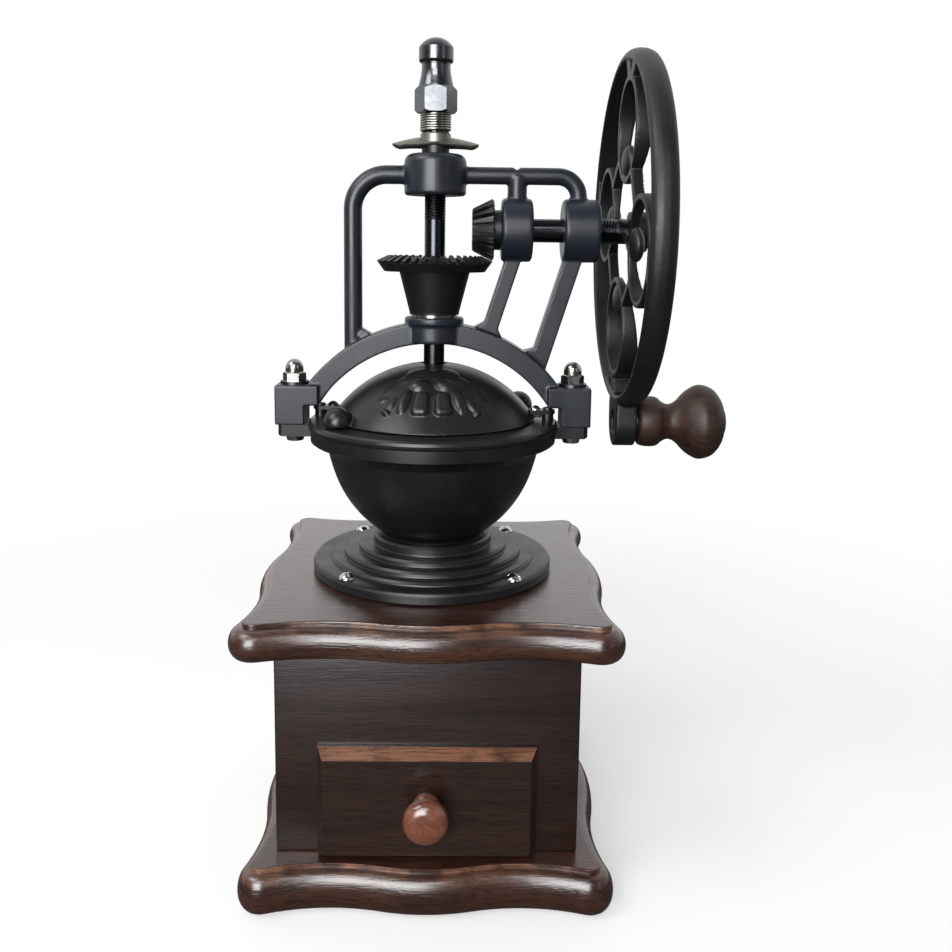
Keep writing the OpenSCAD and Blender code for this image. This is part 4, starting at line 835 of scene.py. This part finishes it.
def wing_nut(name):
    """Two blades of sheet that droop to their tips and fall off like a roof to both sides, narrower
    and round at the ends, on a turned hub."""
    high = Vector(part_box("wing_nut")[1])
    tip, half = high.x, high.y - WING_IN
    deselect()
    bpy.ops.mesh.primitive_grid_add(x_subdivisions=56, y_subdivisions=12, size=2)
    blades = bpy.context.object
    blades.name = name
    for vertex in blades.data.vertices:
        u, v = vertex.co.x, vertex.co.y
        wide = half * (1 - 0.5 * max(abs(u) - 0.35, 0))
        wide *= math.sqrt(max(1 - (max(abs(u) - 0.8, 0) / 0.2) ** 2, 0.02))
        vertex.co.x = tip * u
        vertex.co.y = wide * v
        vertex.co.z = high.z - WING_TOP - WING_DROOP * abs(u) ** 1.7 - WING_ROOF * (wide * v / half) ** 2
    plate = blades.modifiers.new("plate", "SOLIDIFY")
    plate.thickness = WING_PLATE
    plate.offset = -1
    bpy.ops.object.modifier_apply(modifier="plate")
    soft = blades.modifiers.new("soft", "BEVEL")
    soft.width = WING_EDGE
    soft.segments = 2
    bpy.ops.object.modifier_apply(modifier="soft")
    hub_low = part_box("thrust_collar")[1][2]
    hub = turned("wing_nut_hub",
                 [(HUB_BORE, hub_low), (HUB_R - HUB_CHAMFER, hub_low), (HUB_R, hub_low + HUB_CHAMFER),
                  (HUB_R, high.z - HUB_SOFT), (HUB_R - HUB_SOFT, high.z), (HUB_BORE, high.z),
                  (HUB_BORE, hub_low)], (0, 0, 0), (0, 0, 1), steps=64)
    return join([blades, hub])


dull_nickel = plated_steel("dull_nickel_steel", "#92928a", 0.42, brushed=0.3)
hand_over(wing_nut("wing_nut_stamped"), dull_nickel, "nickel", "wing_nut", "wing_nut", smooth=40)


def coil_spring(name):
    """Round wire wound into a close spring, both its ends closed."""
    low, high = (Vector(c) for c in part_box("adjuster_spring"))
    deselect()
    bpy.ops.mesh.primitive_circle_add(vertices=16, radius=WIRE_R, rotation=(math.pi / 2, 0, 0),
                                      location=(high.x - WIRE_R, 0, low.z + WIRE_R))
    spring = bpy.context.object
    spring.name = name
    bpy.ops.object.transform_apply(location=True, rotation=True)
    wind = spring.modifiers.new("wind", "SCREW")
    wind.angle = 2 * math.pi * COILS
    wind.screw_offset = high.z - low.z - 2 * WIRE_R
    wind.steps = wind.render_steps = 40 * COILS
    bpy.ops.object.modifier_apply(modifier="wind")
    bpy.ops.object.mode_set(mode="EDIT")
    bpy.ops.mesh.select_mode(type="EDGE")
    bpy.ops.mesh.select_all(action="DESELECT")
    bpy.ops.mesh.select_non_manifold()
    bpy.ops.mesh.edge_face_add()
    bpy.ops.mesh.select_all(action="SELECT")
    bpy.ops.mesh.normals_make_consistent(inside=False)
    bpy.ops.object.mode_set(mode="OBJECT")
    return spring


spring = coil_spring("adjuster_spring_wire")
hand_over(spring, nickel_steel, "nickel", "grinding_shaft", "adjuster_spring", smooth=80)
dress("cap_nut", plated_steel("gunmetal_steel", "#6a6c6f", 0.22))

# Wheel
# One iron casting: the rim, four thin rings with a round bud in each, two arms, the hub and the lug
# of the handle. Its enamel is thick and pebbled.
pebbled_enamel = black_enamel("pebbled_black_enamel", "#08090a", roughness=0.46, casting=0.9 * MM,
                              depth=0.2 * MM)
wheel = cast_piece("hand_wheel_casting", "wheel", 5)
hand_over(wheel, pebbled_enamel, "black_iron", "hand_wheel", "wheel", smooth=80)
dress("wheel_nut", dark_steel)

# Handle
# A turned grip of brown stained beech with a bead and a ball, free on its bolt, whose head lies
# sunk in the end of the ball.
GRIP_BORE_R = 3.1 * MM
GRIP_SINK_R = 5.3 * MM
GRIP_SINK_FROM = 3.1 * MM
GRIP_SINK_TO = 0.2 * MM

handle_wood = stained_wood("turned_brown_beech", "#20130e", "#3f261c", "#3f261c", gloss=0.5, bands=0.8,
                           figure=5 * MM, pores=0.4)
low, high = (Vector(c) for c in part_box("handle_knob"))
length = high.x - low.x
radius = (high.y - low.y) / 2
grip = [(0.56, 0), (0.64, 0.03), (0.68, 0.12), (0.66, 0.22), (0.55, 0.28), (0.475, 0.36), (0.56, 0.45),
        (0.82, 0.56), (0.98, 0.67), (1, 0.75), (0.9, 0.86), (0.66, 0.945), (0.4, 0.985), (0.345, 1)]
grip = ([(GRIP_BORE_R, 0)] + [(radius * r, length * h) for r, h in flowing(grip, 6)]
        + [(GRIP_SINK_R, length - GRIP_SINK_TO), (GRIP_SINK_R, length - GRIP_SINK_FROM),
           (GRIP_BORE_R, length - GRIP_SINK_FROM), (GRIP_BORE_R, 0)])
foot = (low.x, (low.y + high.y) / 2, (low.z + high.z) / 2)
handle = turned("handle_turned", grip, foot, (1, 0, 0))
hand_over(handle, handle_wood, "handle_wood", "handle", "handle_knob", smooth=50)
dress("handle_bolt", dark_steel)
dress("handle_washer", dark_steel)

# Studio
# A pale floor with no edge in view, a white backdrop behind and a dark room in front. A large soft
# window at the front left, a smaller one high up on that side, a narrow strip high in front and a
# weak soft light at the right, as around the photographed mill. Seen by the camera, the floor glows
# more the further it is from the mill: the mill keeps its shadow and the far floor shows no line.
FLOOR_WIDE = 8
SHADE_FROM = 0.12
SHADE_TO = 0.6
floor_white, tree, shader = new_finish("pale_studio_floor")
tree.nodes.remove(shader)
seen = add_node(tree, "LightPath").outputs["Is Camera Ray"]
tone = add_node(tree, "MixRGB", Fac=seen, Color1=srgb("#565452"), Color2=srgb("#f2f2f2"))
paper = add_node(tree, "BsdfDiffuse", Color=tone.outputs[0])
light = add_node(tree, "Emission", Color=(1, 1, 1, 1), Strength=1.0)
spot = add_node(tree, "NewGeometry").outputs["Position"]
away = add_node(tree, "VectorMath", {"operation": "LENGTH"})
tree.links.new(spot, away.inputs[0])
far = add_node(tree, "MapRange", {"interpolation_type": "SMOOTHSTEP"}, Value=away.outputs["Value"],
               From_Min=SHADE_FROM, From_Max=SHADE_TO, To_Min=0.42, To_Max=1.0)
part = add_node(tree, "Math", {"operation": "MULTIPLY"})
tree.links.new(seen, part.inputs[0])
tree.links.new(far.outputs[0], part.inputs[1])
mix = add_node(tree, "MixShader", Fac=part.outputs[0])
tree.links.new(paper.outputs[0], mix.inputs[1])
tree.links.new(light.outputs[0], mix.inputs[2])
tree.links.new(mix.outputs[0], tree.nodes["Material Output"].inputs["Surface"])
deselect()
bpy.ops.mesh.primitive_plane_add(size=FLOOR_WIDE, location=(0, 0, -0.0001))
floor = bpy.context.object
floor.name = "studio_floor"
floor.data.materials.append(floor_white)

world = bpy.data.worlds.new("white_backdrop_dark_room")
bpy.context.scene.world = world
world.use_nodes = True
tree = world.node_tree
path = add_node(tree, "LightPath")
way = add_node(tree, "SeparateXYZ", Vector=add_node(tree, "TexCoord").outputs["Generated"])
room = add_node(tree, "MapRange", Value=way.outputs["Y"], From_Min=-0.35, From_Max=0.4, To_Min=0.1,
                To_Max=0.95)
strength = add_node(tree, "MapRange", Value=path.outputs["Is Camera Ray"], To_Min=room.outputs[0], To_Max=1.0)
back = tree.nodes["Background"]
back.inputs["Color"].default_value = (1, 1, 1, 1)
tree.links.new(strength.outputs[0], back.inputs["Strength"])


def window(name, place, aim, width, height, power):
    """A soft rectangular light, sizes in metres and power in watts."""
    data = bpy.data.lights.new(name, "AREA")
    data.shape = "RECTANGLE"
    data.size, data.size_y = width, height
    data.energy = power
    lamp = bpy.data.objects.new(name, data)
    bpy.context.scene.collection.objects.link(lamp)
    lamp.location = place
    lamp.rotation_euler = (Vector(aim) - Vector(place)).to_track_quat("-Z", "Y").to_euler()


window("left_window", (-0.35, -1.1, 0.4), (0, 0, 0.2), 0.7, 0.6, 15)
window("high_window", (-0.75, -0.45, 1.1), (0, 0, 0.15), 0.6, 0.6, 7)
window("high_front_strip", (-0.15, -1.0, 0.85), (0, 0, 0.2), 0.6, 0.15, 3.5)
window("right_soft_light", (1.1, -0.9, 0.6), (0, 0, 0.15), 0.5, 0.8, 0.8)

# Camera
# Set where the photograph was taken from: 41 cm in front of the mill, a little above its middle.
data = bpy.data.cameras.new("camera")
data.sensor_width = 36
data.lens = 36.31
data.shift_x = 0.0056
data.shift_y = -0.0995
camera = bpy.data.objects.new("camera", data)
bpy.context.scene.collection.objects.link(camera)
pitch, yaw, roll = (math.radians(v) for v in (7.96, 0.87, 0.75))
ahead = Vector((math.sin(yaw) * math.cos(pitch), math.cos(yaw) * math.cos(pitch), -math.sin(pitch)))
right = Vector((math.cos(yaw), -math.sin(yaw), 0))
up = right.cross(ahead)
across = math.cos(roll) * right + math.sin(roll) * up
upright = -math.sin(roll) * right + math.cos(roll) * up
camera.matrix_world = Matrix.LocRotScale(
    Vector((0.00969, -0.4113, 0.25528)),
    Matrix((across, upright, -ahead)).transposed().to_quaternion(), None)
bpy.context.scene.camera = camera
bpy.context.scene.view_settings.view_transform = "Standard"
